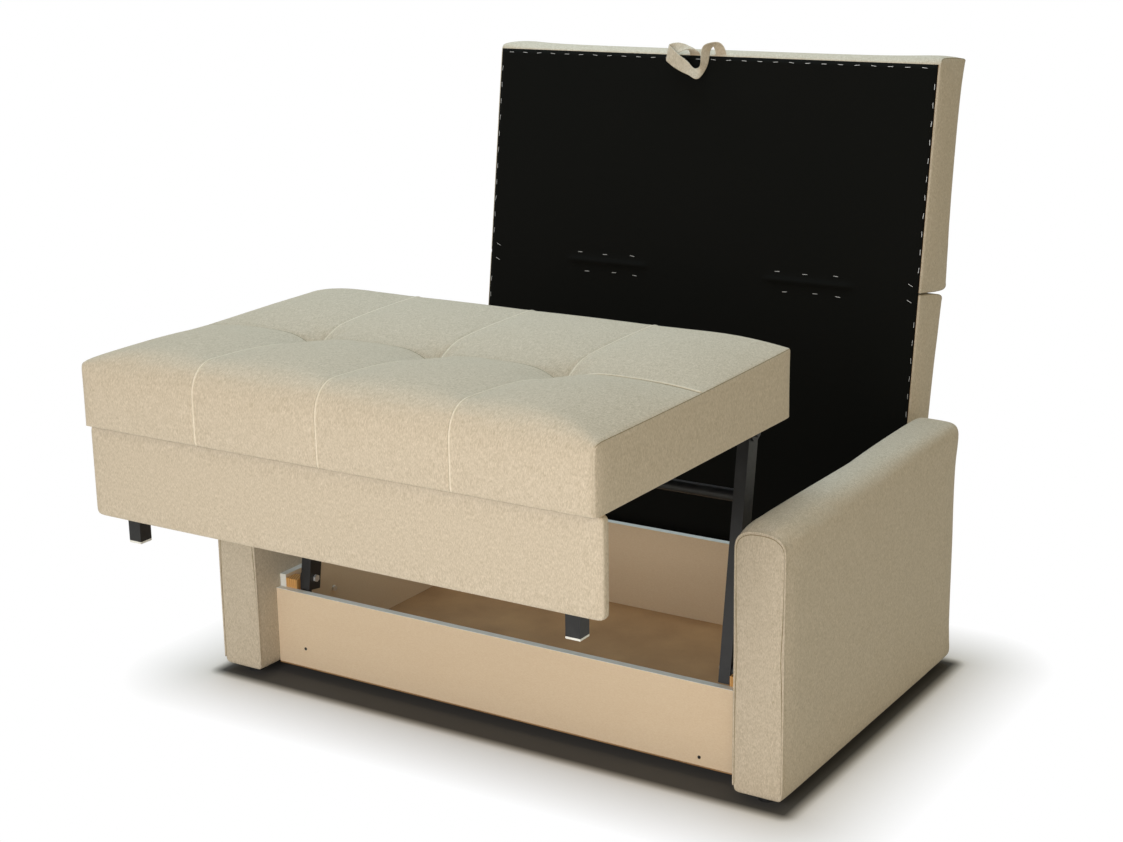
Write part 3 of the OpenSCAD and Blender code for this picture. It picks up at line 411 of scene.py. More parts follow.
def cover_weave(name, dark, pale):
    """Flat-woven melange: beige yarns of mixed shades, 1.2 mm apart, that run along and across each face."""
    material, tree, shader = surface(name)
    place = add(tree, "TexCoord")
    facing = add(tree, "SeparateXYZ", None, {0: place.outputs["Normal"]})
    square = [add(tree, "Math", {"operation": "MULTIPLY"}, {0: facing.outputs[i], 1: facing.outputs[i]})
              for i in range(3)]
    sideways = add(tree, "MapRange", {"interpolation_type": "SMOOTHSTEP", "From Min": 0.35, "From Max": 0.65},
                   {"Value": square[0].outputs["Value"]})
    # Slubs in the yarn are 1.2 mm wide and 5 mm long, drawn 1.6 mm wide so that they show
    slub = {"Scale": 1.0, "Detail": 3.0, "Roughness": 0.65}
    front_slubs = add(tree, "TexNoise", slub, {"Vector": stretched(tree, (620, 190, 190))})
    side_slubs = add(tree, "TexNoise", slub, {"Vector": stretched(tree, (190, 620, 190))})
    slubs = add(tree, "Mix", {"data_type": "FLOAT"},
                {0: sideways.outputs["Result"], 2: front_slubs.outputs["Fac"], 3: side_slubs.outputs["Fac"]})
    # Dye varies in faint clouds about 8 mm across
    cloud = add(tree, "TexNoise", {"Scale": 120.0, "Detail": 2.0, "Roughness": 0.5},
                {"Vector": place.outputs["Object"]})
    cloud = add(tree, "Math", {"operation": "MULTIPLY", 1: 0.2}, {0: cloud.outputs["Fac"]})
    shade = add(tree, "Math", {"operation": "MULTIPLY_ADD", 1: 0.8},
                {0: slubs.outputs[0], 2: cloud.outputs["Value"]})
    spread = add(tree, "MapRange", {"From Min": 0.3, "From Max": 0.7}, {"Value": shade.outputs["Value"]})
    colour = blended(tree, spread.outputs["Result"], dark, pale)
    # Crossing yarns, drawn 2.4 mm apart so that they show: on each face the product of the two waves that
    # run along it
    split = add(tree, "SeparateXYZ", None, {0: place.outputs["Object"]})
    wave = []
    for i in range(3):
        step = add(tree, "Math", {"operation": "MULTIPLY", 1: 2 * math.pi / YARN_PITCH},
                   {0: split.outputs[i]})
        wave.append(add(tree, "Math", {"operation": "SINE"}, {0: step.outputs["Value"]}))
    relief = None
    for i in range(3):
        cross = add(tree, "Math", {"operation": "MULTIPLY"},
                    {0: wave[(i + 1) % 3].outputs["Value"], 1: wave[(i + 2) % 3].outputs["Value"]})
        part = add(tree, "Math", {"operation": "MULTIPLY"},
                   {0: cross.outputs["Value"], 1: square[i].outputs["Value"]})
        relief = part if relief is None else add(
            tree, "Math", {"operation": "ADD"}, {0: relief.outputs["Value"], 1: part.outputs["Value"]})
    height = add(tree, "Math", {"operation": "MULTIPLY_ADD", 1: 0.35},
                 {0: relief.outputs["Value"], 2: slubs.outputs[0]})
    inputs = {"Base Color": colour, "Roughness": 0.92, "Specular IOR Level": 0.15, "Sheen Weight": 0.18,
              "Sheen Roughness": 0.45, "Sheen Tint": paint("#eef2ea")}
    finish_surface(tree, shader, inputs, height.outputs["Value"], strength=0.4, depth=0.0006)
    return material


def block_skin(lines):
    """Surface of a block that is cut along grid lines on three axes.

    Each side is a grid of cells, and a point that sides share is kept once. Returns the points' numbers in
    the grid, their places along each axis, and quads that face out."""
    quads = []
    cells = [len(line) - 1 for line in lines]
    for axis in range(3):
        a, b = (axis + 1) % 3, (axis + 2) % 3
        i, j = (g.ravel() for g in np.meshgrid(np.arange(cells[a]), np.arange(cells[b]), indexing="ij"))
        for end in (0, 1):
            corners = [(0, 0), (1, 0), (1, 1), (0, 1)]
            side = np.zeros((i.size, 4, 3), int)
            for c, (p, q) in enumerate(corners if end else corners[::-1]):
                side[:, c, a], side[:, c, b], side[:, c, axis] = i + p, j + q, cells[axis] * end
            quads.append(side)
    quads = np.concatenate(quads)
    numbers, index = np.unique(quads.reshape(-1, 3), axis=0, return_inverse=True)
    return numbers, [line[numbers[:, i]] for i, line in enumerate(lines)], index.reshape(-1, 4)


def picked(points, numbers, keys):
    """The points that have the given numbers in the grid, as a line."""
    found = {tuple(number): i for i, number in enumerate(numbers.tolist())}
    return points[[found[key] for key in keys]]


def grid_lines(edges, near, step):
    """Places of grid lines: the edges, the near distances beside them, and about a step apart between."""
    places = [edges[0]]
    for low, high in zip(edges[:-1], edges[1:]):
        count = max(2, round((high - low - 2 * near[-1]) / step) + 1)
        inner = np.linspace(low + near[-1], high - near[-1], count)
        places += [*(low + np.array(near[:-1])), *inner, *(high - np.array(near[:-1]))[::-1], high]
    return np.array(places)


def rolled(place, size, low_radius, high_radius):
    """A straight side whose ends turn in a quarter round, each end sharing it with the next side.

    Within a radius of an end, the place becomes an angle from 0 to 45 degrees on that round.
    Returns how far the point has moved in, and its new place along the side."""
    low = np.clip((low_radius - place) / low_radius, 0, 1) * math.pi / 4
    high = np.clip((place - size + high_radius) / high_radius, 0, 1) * math.pi / 4
    inset = low_radius * (1 - np.cos(low)) + high_radius * (1 - np.cos(high))
    along = np.where(low > 0, low_radius * (1 - np.sin(low)),
                     np.where(high > 0, size - high_radius * (1 - np.sin(high)), place))
    return inset, along


def patch_between(sides, corners, u, v):
    """Points inside four curved sides, at shares u across and v up.

    The left and right sides are blended across and the lower and upper ones upwards. Their sum counts each
    corner twice, so the corners, blended both ways, are taken off once."""
    blend = (1 - u) * sides[0] + u * sides[1] + (1 - v) * sides[2] + v * sides[3]
    share = [(1 - u) * (1 - v), u * (1 - v), u * v, (1 - u) * v]
    return blend - sum(s * np.array(c).reshape(2, -1) for s, c in zip(share, corners))


def rounded_section(p, q, width, height, radii):
    """Points of a rectangle carried to one with rounded corners, by blending its four sides across it.

    radii are those of the corners at (0, 0), (width, 0), (width, height) and (0, height)."""
    radii = [np.full_like(p, r) if np.isscalar(r) else r for r in radii]
    left, right = rolled(q, height, radii[0], radii[3]), rolled(q, height, radii[1], radii[2])
    low, high = rolled(p, width, radii[0], radii[1]), rolled(p, width, radii[3], radii[2])
    sides = [np.stack(left), np.stack([width - right[0], right[1]]),
             np.stack([low[1], low[0]]), np.stack([high[1], height - high[0]])]
    bend = [radius * (1 - math.sqrt(0.5)) for radius in radii]
    corners = [(bend[0], bend[0]), (width - bend[1], bend[1]),
               (width - bend[2], height - bend[2]), (bend[3], height - bend[3])]
    return patch_between(sides, corners, p / width, q / height)


def round_corners(x, y, half, depth, radius):
    """Places in a rectangle, from -half to half and from 0 to depth, with its four corners rounded.

    A place further than the radius from the rectangle's core is drawn back to that distance."""
    core_x, core_y = np.clip(x, radius - half, half - radius), np.clip(y, radius, depth - radius)
    kept = np.minimum(1, radius / np.maximum(np.hypot(x - core_x, y - core_y), 1e-9))
    return core_x + (x - core_x) * kept, core_y + (y - core_y) * kept


def swell(piece, held, most, pressure=4.0, frames=20):
    """Blows up a closed cover with Blender's cloth, held still at the given points, and keeps the result.

    No point moves further than the given distance."""
    before = np.array([v.co for v in piece.data.vertices])
    group = piece.vertex_groups.new(name="held")
    group.add([int(i) for i in np.flatnonzero(held)], 1.0, "REPLACE")
    cloth = piece.modifiers.new("cloth", "CLOTH")
    cloth.settings.quality = 5
    cloth.settings.mass = 0.3
    cloth.settings.tension_stiffness = cloth.settings.compression_stiffness = 15
    cloth.settings.shear_stiffness = 5
    cloth.settings.bending_stiffness = 0.5
    cloth.settings.use_pressure = True
    cloth.settings.uniform_pressure_force = pressure
    cloth.settings.effector_weights.gravity = 0
    cloth.settings.vertex_group_mass = "held"
    cloth.point_cache.frame_start, cloth.point_cache.frame_end = 1, frames
    for number in range(1, frames + 1):
        bpy.context.scene.frame_set(number)
    shaped = piece.evaluated_get(bpy.context.evaluated_depsgraph_get())
    after = np.array([v.co for v in shaped.data.vertices])
    piece.modifiers.remove(cloth)
    piece.vertex_groups.clear()
    bpy.context.scene.frame_set(1)
    move = after - before
    far = np.linalg.norm(move, axis=1)
    # Near the limit the move eases off instead of being cut short
    eased = most * np.tanh(far / most)
    return before + move * (eased / np.maximum(far, 1e-9))[:, None]


def set_points(piece, points):
    """Puts an array of points into a piece's mesh."""
    piece.data.vertices.foreach_set("co", np.asarray(points, np.float32).ravel())
    piece.data.update()


def normals_of(piece):
    """The normals of a piece's points, as an array."""
    normals = np.zeros(len(piece.data.vertices) * 3, np.float32)
    piece.data.vertex_normals.foreach_get("vector", normals)
    return normals.reshape(-1, 3).astype(float)


def finish_cover(piece, body, node):
    """What every cover ends with: a subdivision surface, its CAD node and its body."""
    rounding = piece.modifiers.new("rounding", "SUBSURF")
    rounding.levels = rounding.render_levels = 1
    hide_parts(node)
    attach(piece, body)


def half_round(share):
    """0 at both ends and 1 in the middle of a share from 0 to 1, rising as a half circle does."""
    return np.sqrt(np.maximum(4 * share * (1 - share), 0))


SEAT_LOW, SEAT_HIGH = (np.array(corner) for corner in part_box("seat_cushion"))
# It starts 3 mm narrower than the CAD cushion at each side, and swells 5 mm there at most
SEAT_HALF = SEAT_HIGH[0] - 0.003
SEAT_SWELL, SEAT_SIDE_SWELL = 0.012, 0.005
SEAT_DEPTH = SEAT_HIGH[1] - SEAT_LOW[1]
SEAT_TOP = 0.128
SEAT_CREST, SEAT_VALLEY, SEAT_PUFF = 0.029, 0.012, 0.005
SEAT_SHOULDER, SEAT_REAR_LIFT = 0.140, 0.011
# How deep and how wide the bells of a tuft are
SEAT_BELLS = ((0.009, 0.055), (0.017, 0.028))
BELL_STRETCH = 2.6
# The drop to the row of tufts is this power of the way along a seam, and more in a panel's middle
DROP_POWER, DROP_POWER_MORE = 2.2, 1.8
SEAT_CORNER = 0.017
SEAT_FOOT_ROLL, SEAT_REAR_ROLL, SEAT_FRONT_ROLL = 0.008, 0.040, 0.056
SEAT_SIDE_ROLL_SHARE = 0.4
SEAT_SEAMS = np.linspace(-1, 1, 5) * SEAT_HALF
SEAT_ROW = SEAT_DEPTH / 2
TUFTS = [(x, SEAT_ROW) for x in SEAT_SEAMS[1:4]]
# Grid lines beside a seam, and the depth of its groove and the height of the doubled cloth there
SEAM_NEAR = (0.004, 0.012)
SEAM_GROOVE, SEAM_STAND = 0.0018, 0.0012
seat_x = grid_lines(SEAT_SEAMS, SEAM_NEAR, 0.0125)
seat_y = grid_lines([0, SEAT_ROW, SEAT_DEPTH], SEAM_NEAR, 0.0125)
seat_z = grid_lines([0, SEAT_TOP], SEAM_NEAR, 0.0115)


def seat_surface(x, y, z):
    """The seat before it swells: a block with rolled front and rear, two long rolls on top and three tufts.

    The top rises from the sides to a crest and drops to the row of tufts between the two rolls, along a seam
    as a low power of the way and in the middle of a panel as a high one. A tuft is two bells, longer to the
    front."""
    inside = np.clip((SEAT_HALF - np.abs(x)) / SEAT_SHOULDER, 0, 1)
    inside = inside * (2 - inside)
    side = SEAT_REAR_LIFT * (y / SEAT_DEPTH) ** 2
    height = SEAT_TOP + side + (SEAT_CREST - side) * inside
    full = SEAT_SIDE_ROLL_SHARE + (1 - SEAT_SIDE_ROLL_SHARE) * inside
    rolls = (SEAT_FOOT_ROLL, SEAT_FOOT_ROLL, SEAT_REAR_ROLL * full, SEAT_FRONT_ROLL * full)
    y_rolled, z_rolled = rounded_section(y, z * height / SEAT_TOP, SEAT_DEPTH, height, rolls)
    near_row = 1 - np.abs(y - SEAT_ROW) / SEAT_ROW
    across = half_round((x + SEAT_HALF) / (2 * SEAT_HALF) * 4 % 1.0)
    drop = (SEAT_CREST - SEAT_VALLEY) * inside * near_row ** (DROP_POWER + DROP_POWER_MORE * across)
    sink = np.zeros_like(x)
    for tuft in TUFTS:
        ahead = np.where(y < tuft[1], BELL_STRETCH, 1.0)
        far = (x - tuft[0]) ** 2 + ((y - tuft[1]) / ahead) ** 2
        bells = sum(deep * np.exp(-far / wide ** 2) for deep, wide in SEAT_BELLS)
        sink = np.maximum(sink, bells)
    top = (z / SEAT_TOP) ** 6
    rise = SEAT_PUFF * across * 4 * near_row * (1 - near_row) - drop - sink
    # Seen from above the four corners are round
    x_round, y_round = round_corners(x, y_rolled, SEAT_HALF, SEAT_DEPTH, SEAT_CORNER)
    return np.stack([x_round, SEAT_LOW[1] + y_round, SEAT_LOW[2] + z_rolled + rise * top], axis=1)


seat_numbers, (sx, sy, sz), quads = block_skin([seat_x, seat_y, seat_z])
seat_last = [len(seat_x) - 1, len(seat_y) - 1, len(seat_z) - 1]
seat_points = seat_surface(sx, sy, sz)
seat = mesh_piece("seat_cover", seat_points, quads)
on_top = seat_numbers[:, 2] == seat_last[2]
on_end, on_face = ((seat_numbers[:, i] == 0) | (seat_numbers[:, i] == seat_last[i]) for i in (0, 1))
seam_gap = np.min(np.abs(sx[:, None] - SEAT_SEAMS[None, 1:4]), axis=1)
at_seam = (seam_gap < 1e-6) | (on_top & (np.abs(sy - SEAT_ROW) < 1e-6)) | (on_end & (on_top | on_face))
seat_points = swell(seat, at_seam | (sz == 0), SEAT_SWELL)
side_limit = SEAT_HALF + SEAT_SIDE_SWELL
seat_points[:, 0] = np.clip(seat_points[:, 0], -side_limit, side_limit)
set_points(seat, seat_points)
out = normals_of(seat)
# A seam lies in a groove, and the doubled cloth beside it stands up as a ridge
beside = (np.abs(seam_gap - SEAM_NEAR[0]) < 1e-4) & ~on_end & (sz > 0)
lift = np.where(at_seam & (sz > 0), -SEAM_GROOVE, 0) + np.where(beside, SEAM_STAND, 0)
# Eight short folds run out from each tuft, low along the seams
FOLD_COUNT, FOLD_HEIGHT, FOLD_REACH, FOLD_SPREAD = 8, 0.0024, 0.038, 0.018
for tuft in TUFTS:
    away, turn = np.hypot(sx - tuft[0], sy - tuft[1]), np.arctan2(sy - tuft[1], sx - tuft[0])
    fold = FOLD_HEIGHT * np.cos(FOLD_COUNT * turn) * np.exp(-((away - FOLD_REACH) / FOLD_SPREAD) ** 2)
    lift = lift - np.where(on_top, fold, 0)
seat_points = seat_points + out * lift[:, None]
set_points(seat, seat_points)
WEAVE = cover_weave("melange_weave", "#b3a791", "#dfd4c3")
# Over a seam allowance the ridge is coloured paler, as a painted highlight, and the tubes in the creases are
# coloured darker, as painted shade
RIDGE_HIGHLIGHT = cover_weave("melange_weave_painted_highlight", "#dbd0bb", "#efe7d8")
CREASE_SHADE = cover_weave("melange_weave_painted_shade", "#8a7d62", "#a09377")
seat.data.materials.append(WEAVE)
finish_cover(seat, "seat", "seat_cushion")


def sampled(points, step):
    """Points about a step apart along a line of points, smoothed by averaging each with its neighbours."""
    points = np.asarray(points, float)
    length = np.concatenate([[0], np.cumsum(np.linalg.norm(np.diff(points, axis=0), axis=1))])
    at = np.linspace(0, length[-1], max(3, round(length[-1] / step) + 1))
    line = np.stack([np.interp(at, length, points[:, i]) for i in range(3)], axis=1)
    for _ in range(2):
        line[1:-1] = (line[:-2] + 2 * line[1:-1] + line[2:]) / 4
    return line


def skin_tree(piece):
    """A search tree of a piece's finished surface, its modifiers included."""
    return BVHTree.FromObject(piece, bpy.context.evaluated_depsgraph_get())


def laid_on(tree, line):
    """A line of points brought onto a surface, and the surface's normals there."""
    found = [tree.find_nearest(p) for p in line]
    return np.array([f[0] for f in found]), np.array([f[1] for f in found])


def across_line(line, normals):
    """Directions along a line, and across it in its surface."""
    along = np.gradient(line, axis=0)
    along /= np.linalg.norm(along, axis=1)[:, None]
    side = np.cross(along, normals)
    return along, side / np.linalg.norm(side, axis=1)[:, None]


def tube_mesh(line, normals, width, height, sides=8):
    """A closed tube along a line. Its section is an ellipse, with its height along the normal."""
    _, side = across_line(line, normals)
    angles = np.arange(sides) * 2 * math.pi / sides
    rings = (line[:, None] + side[:, None] * (width / 2 * np.cos(angles))[None, :, None]
             + normals[:, None] * (height / 2 * np.sin(angles))[None, :, None])
    count = len(line)
    points = np.concatenate([rings.reshape(-1, 3), line[:1], line[-1:]])
    faces = []
    for k in range(count - 1):
        for j in range(sides):
            a, b = k * sides + j, k * sides + (j + 1) % sides
            faces.append((a, a + sides, b + sides, b))
    for j in range(sides):
        nxt = (j + 1) % sides
        last = (count - 1) * sides
        faces.append((count * sides, j, nxt))
        faces.append((count * sides + 1, last + nxt, last + j))
    return points, faces


def joined_piece(name, parts, material):
    """One piece from several (points, faces) pairs."""
    points, faces, start = [], [], 0
    for part_points, part_faces in parts:
        points.extend(np.asarray(part_points).tolist())
        faces.extend([tuple(int(i) + start for i in face) for face in part_faces])
        start += len(part_points)
    return mesh_piece(name, points, faces, material)


def sewn_on(name, parts, material, body):
    """A piece of trimming from several parts and its body."""
    piece = joined_piece(name, parts, material)
    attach(piece, body)


def seam_thread():
    """Pale polyester sewing thread: twisted, two tones every 0.6 mm, slightly shiny."""
    material, tree, shader = surface("sewing_thread")
    twist = add(tree, "TexNoise", {"Scale": 1800.0, "Detail": 1.0},
                {"Vector": add(tree, "TexCoord").outputs["Object"]})
    colour = blended(tree, twist.outputs["Fac"], "#d9cdb8", "#f1e9da")
    finish_surface(tree, shader, {"Base Color": colour, "Roughness": 0.6})
    return material


THREAD = seam_thread()
STITCH, STITCH_GAP = 0.0050, 0.0014
THREAD_RADIUS, THREAD_LIFT, THREAD_DIP = 0.0005, 0.0004, 0.0006
THREAD_SIDES = 6


def stitches(tree, line):
    """Threads laid end to end along a line on a surface: spindles of six sides that dip at both ends.

    Each has a point at both ends and two rings between them, three tenths of its length from its middle."""
    line = sampled(line, (STITCH + STITCH_GAP) / 2)
    spots, normals = laid_on(tree, line)
    along, side = across_line(spots, normals)
    angles = np.arange(THREAD_SIDES) * 2 * math.pi / THREAD_SIDES
    faces = []
    for j in range(THREAD_SIDES):
        a, b = 1 + j, 1 + (j + 1) % THREAD_SIDES
        c, d = a + THREAD_SIDES, b + THREAD_SIDES
        faces += [(0, a, b), (a, c, d, b), (2 * THREAD_SIDES + 1, d, c)]
    parts = []
    for k in range(1, len(line) - 1, 2):
        points = [spots[k] - along[k] * STITCH / 2 - normals[k] * THREAD_DIP]
        for share in (-0.3, 0.3):
            centre = spots[k] + along[k] * STITCH * share + normals[k] * THREAD_LIFT
            points += [centre + THREAD_RADIUS * (math.cos(a) * side[k] + math.sin(a) * normals[k])
                       for a in angles]
        points.append(spots[k] + along[k] * STITCH / 2 - normals[k] * THREAD_DIP)
        parts.append((points, faces))
    return parts


# The seams' allowances are folded to one side under the cover, so a low ridge runs beside each seam, painted
# paler as a highlight, and a row of pale thread is sewn along it. The seam itself is a thin crease, drawn as
# a tube painted darker as shade.
RIDGE_WIDTH, RIDGE_HEIGHT = 0.0050, 0.0036
RIDGE_GAP = 0.0006
CREASE_WIDTH, CREASE_HEIGHT = 0.0015, 0.0012
LINE_STEP = 0.004
seat_tree = skin_tree(seat)
ridges, threads, creases = [], [], []


def seat_line(keys):
    """A line on the seat, about a point every 4 mm, along its points with the given numbers."""
    return sampled(picked(seat_points, seat_numbers, keys), LINE_STEP)


def crease_along(tree, line):
    """A seam's crease: a thin tube, dark as painted shade, half sunk along a line on a surface."""
    spots, normals = laid_on(tree, line)
    return tube_mesh(spots, normals, CREASE_WIDTH, CREASE_HEIGHT)


def seam_ridge(line, towards):
    """The ridge beside a seam, an oval tube half sunk in the seat, and the stitches along its crest.

    The ridge lies to one side of the seam by a gap and half its own width."""
    spots, normals = laid_on(seat_tree, line)
    _, side = across_line(spots, normals)
    side *= np.sign(np.sum(side * np.array(towards), axis=1))[:, None]
    # Starting 1 mm above the cover finds its outer side again
    beside_seam = spots + side * (RIDGE_WIDTH / 2 + RIDGE_GAP) + normals * 0.001
    crest, normals = laid_on(seat_tree, beside_seam)
    ridges.append(tube_mesh(crest, normals, RIDGE_WIDTH, RIDGE_HEIGHT))
    threads.extend(stitches(seat_tree, crest + normals * RIDGE_HEIGHT / 2))


for x in SEAT_SEAMS[1:4]:
    ix = int(np.argmin(np.abs(seat_x - x)))
    keys = [(ix, 0, k) for k in range(seat_last[2])]
    keys += [(ix, k, seat_last[2]) for k in range(seat_last[1] + 1)]
    keys += [(ix, seat_last[1], k) for k in range(seat_last[2] - 1, -1, -1)]
    seam_ridge(seat_line(keys), (1, 0, 0))
    creases.append(crease_along(seat_tree, seat_line(keys)))
# The row's ridge is sewn down but for the part from the right tuft to the side
iy = int(np.argmin(np.abs(seat_y - SEAT_ROW)))
right_tuft = int(np.argmin(np.abs(seat_x - SEAT_SEAMS[3])))
seam_ridge(seat_line([(k, iy, seat_last[2]) for k in range(right_tuft, seat_last[0])]), (0, 1, 0))
creases.append(crease_along(seat_tree, seat_line([(k, iy, seat_last[2]) for k in range(1, seat_last[0])])))
# The gussets are sewn in from behind, with only a crease along the top of each side
for ix in (0, seat_last[0]):
    keys = [(ix, k, seat_last[2]) for k in range(seat_last[1] + 1)]
    creases.append(crease_along(seat_tree, seat_line(keys)))
# The ridges' paler colour is a painted highlight
sewn_on("seat_seam_ridges", ridges, RIDGE_HIGHLIGHT, "seat")
sewn_on("seat_stitches", threads, THREAD, "seat")
# The creases' darker colour is painted shade
sewn_on("seat_seam_creases", creases, CREASE_SHADE, "seat")


# The apron under the seat's front is a chipboard board in thin padding and the same cover, with soft
# corners. The cover is stapled to the board behind, above, below and at both ends.
def rounded_block(points, low, high, radius):
    """Points of a box moved onto its rounded form: the nearest point of a smaller box, plus the radius."""
    core = np.clip(points, np.asarray(low) + radius, np.asarray(high) - radius)
    away = points - core
    far = np.linalg.norm(away, axis=1)
    return core + away * (radius / np.maximum(far, 1e-9))[:, None]


def even_lines(low, high, step):
    """Places about a step apart from low to high."""
    return np.linspace(low, high, max(3, round((high - low) / step) + 1))


APRON_LOW, APRON_HIGH = (np.array(corner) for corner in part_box("apron_cover"))
# Its front starts 1 mm behind the CAD cover's and swells by up to 4 mm
APRON_LOW[1] += 0.001
APRON_ROUND, APRON_SWELL = 0.009, 0.004
APRON_STEPS = (0.014, 0.0045, 0.012)
_, apron_places, apron_faces = block_skin(
    [even_lines(low, high, step) for low, high, step in zip(APRON_LOW, APRON_HIGH, APRON_STEPS)])
apron_points = np.stack(apron_places, axis=1)
apron = mesh_piece("apron_padding", rounded_block(apron_points, APRON_LOW, APRON_HIGH, APRON_ROUND),
                   apron_faces, WEAVE)
apron_x, apron_y, apron_z = apron_places
apron_held = ((apron_y > APRON_HIGH[1] - 1e-4) | (apron_z < APRON_LOW[2] + 1e-4)
              | (apron_z > APRON_HIGH[2] - 1e-4) | (np.abs(apron_x) > APRON_HIGH[0] - 1e-4))
set_points(apron, swell(apron, apron_held, APRON_SWELL))
finish_cover(apron, "seat", "apron_cover")


# Each armrest is a board frame wrapped in padding and one long strip of cover over its arched top.
# A flat panel closes its front, and a welt of the cover runs round that panel's seam.
ARM_LOW, ARM_HIGH = (np.array(corner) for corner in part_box("armrest_right_cover"))
ARM_DEPTH = ARM_HIGH[1] - ARM_LOW[1]
ARM_WIDTH = ARM_HIGH[0] - ARM_LOW[0]
# Height of the straight sides, rise of the bare arch, and what full padding adds above and at each side
ARM_SIDE = 0.493
ARM_ARCH, ARM_PUFF, ARM_END_IN = 0.042, 0.022, 0.003
ARM_CORNER = 0.010
# The arch's power in front and at the rear, and the shares of the depth between which it changes
ARM_POWERS, ARM_POWER_SHARES = (2.7, 5.0), (0.55, 0.95)
# The rear end turns in, over this much of the depth and by this share of the way to the middle
ARM_TURN, ARM_TURN_SHARE = 0.03, 0.02
ARM_SWELL = 0.006
# Once it has swelled, the cover may pass the CAD cover's inner and outer sides by this much
ARM_MOST_IN, ARM_MOST_OUT = 0.0015, 0.004
# The welt's section, and how far it lies in from the front's outline and ahead of it
WELT_WIDTH, WELT_HEIGHT, WELT_IN, WELT_AHEAD = 0.0042, 0.0036, 0.001, 0.0005
# The crease inside the welt is looked for this far in from the outline and ahead of it
PANEL_SEAM_IN, PANEL_SEAM_AHEAD = 0.0058, 0.004
# Shares of the depth, and how full the padding is there
ARM_RING_SHARES = [(0, 0), (0.008, 0.35), (0.02, 0.65), (0.05, 0.9), (0.12, 1), (0.3, 1), (0.5, 0.96),
                   (0.7, 0.98), (0.86, 0.96), (0.95, 0.9), (0.985, 0.82), (0.995, 0.7), (1, 0.5)]


def arm_section(p, q, full, power):
    """An armrest's section at shares p across and q up: straight sides, round foot, superellipse on top.

    The fullness raises the top and widens the sides, and the power is the superellipse's: 2 would be round,
    and more is squarer."""
    side = rolled(q * ARM_SIDE, ARM_SIDE, ARM_CORNER, 1e-6)
    low = rolled(p * ARM_WIDTH, ARM_WIDTH, ARM_CORNER, ARM_CORNER)
    rise = ARM_ARCH + ARM_PUFF * full
    level, steep = np.cos(math.pi * p), np.maximum(np.sin(math.pi * p), 0)
    arch = np.stack([ARM_WIDTH / 2 * (1 - np.sign(level) * np.abs(level) ** (2 / power)),
                     ARM_SIDE + rise * steep ** (2 / power)])
    bend = ARM_CORNER * (1 - math.sqrt(0.5))
    sides = [np.stack(side), np.stack([ARM_WIDTH - side[0], side[1]]), np.stack([low[1], low[0]]), arch]
    corners = [(bend, bend), (ARM_WIDTH - bend, bend), (ARM_WIDTH, ARM_SIDE), (0, ARM_SIDE)]
    x, z = patch_between(sides, corners, p, q)
    inward = ARM_END_IN * (1 - np.maximum(full, 0))
    return inward + x * (ARM_WIDTH - 2 * inward) / ARM_WIDTH, z


def armrest(side, hand):
    """One armrest's cover, welt and crease. side is 1 on the right and -1 on the left."""
    name = f"armrest_{hand}_padding"
    # Grid lines stand closer at both ends, where the cover turns in
    depth_lines = np.concatenate([[0, 0.004, 0.010], even_lines(0.022, ARM_DEPTH - 0.012, 0.016),
                                  [ARM_DEPTH - 0.005, ARM_DEPTH]])
    # Numbers of cells across and up
    across, up = 16, 36
    numbers, (p, y, q), faces = block_skin([np.linspace(0, 1, across + 1), depth_lines,
                                            np.linspace(0, 1, up + 1)])
    shares, fullness = np.array(ARM_RING_SHARES).T
    full = np.interp(y / ARM_DEPTH, shares, fullness)
    x, z = arm_section(p, q, full, np.interp(y / ARM_DEPTH, ARM_POWER_SHARES, ARM_POWERS))
    points = np.stack([ARM_LOW[0] + x, ARM_LOW[1] + y, ARM_LOW[2] + z], axis=1)
    end = np.clip((y - ARM_DEPTH + ARM_TURN) / ARM_TURN, 0, 1)
    points[:, 0] += (ARM_LOW[0] + ARM_WIDTH / 2 - points[:, 0]) * ARM_TURN_SHARE * end ** 2
    points[:, 0] *= side
    piece = mesh_piece(name, points, faces if side > 0 else faces[:, ::-1], WEAVE)
    # The front panel's rim, the foot and nine tenths of the inner side are fixed to the boards
    rim = (numbers[:, 0] == 0) | (numbers[:, 0] == across) | (numbers[:, 2] == up) | (numbers[:, 2] == 0)
    inner = np.abs(points[:, 0]) < ARM_LOW[0] + 0.002
    held = (rim & (numbers[:, 1] == 0)) | (numbers[:, 2] == 0) | (inner & (q < 0.9))
    points = swell(piece, held, ARM_SWELL)
    out_from_middle = np.clip(np.abs(points[:, 0]), ARM_LOW[0] - ARM_MOST_IN, ARM_HIGH[0] + ARM_MOST_OUT)
    points[:, 0] = side * out_from_middle
    set_points(piece, points)
    finish_cover(piece, "base", f"armrest_{hand}_cover")
    outline = [(0, 0, k) for k in range(1, up + 1)] + [(k, 0, up) for k in range(1, across + 1)]
    outline += [(across, 0, k) for k in range(up - 1, 0, -1)]
    line = sampled(picked(points, numbers, outline), LINE_STEP)
    outwards = line - line.mean(axis=0)
    outwards[:, 1] = 0
    outwards /= np.linalg.norm(outwards, axis=1)[:, None]
    # The welt faces to the front and 30 degrees outwards
    normals = outwards * 0.5 + np.array((0, -1, 0)) * 0.87
    welt_line = line - outwards * WELT_IN - np.array((0, WELT_AHEAD, 0))
    welt = tube_mesh(welt_line, normals, WELT_WIDTH, WELT_HEIGHT)
    sewn_on(f"{name}_welt", [welt], WEAVE, "base")
    seam = line - outwards * PANEL_SEAM_IN - np.array((0, PANEL_SEAM_AHEAD, 0))
    # The crease inside the welt is a tube darkened as painted shade
    sewn_on(f"{name}_crease", [crease_along(skin_tree(piece), seam)], CREASE_SHADE, "base")


armrest(1, "right")
armrest(-1, "left")


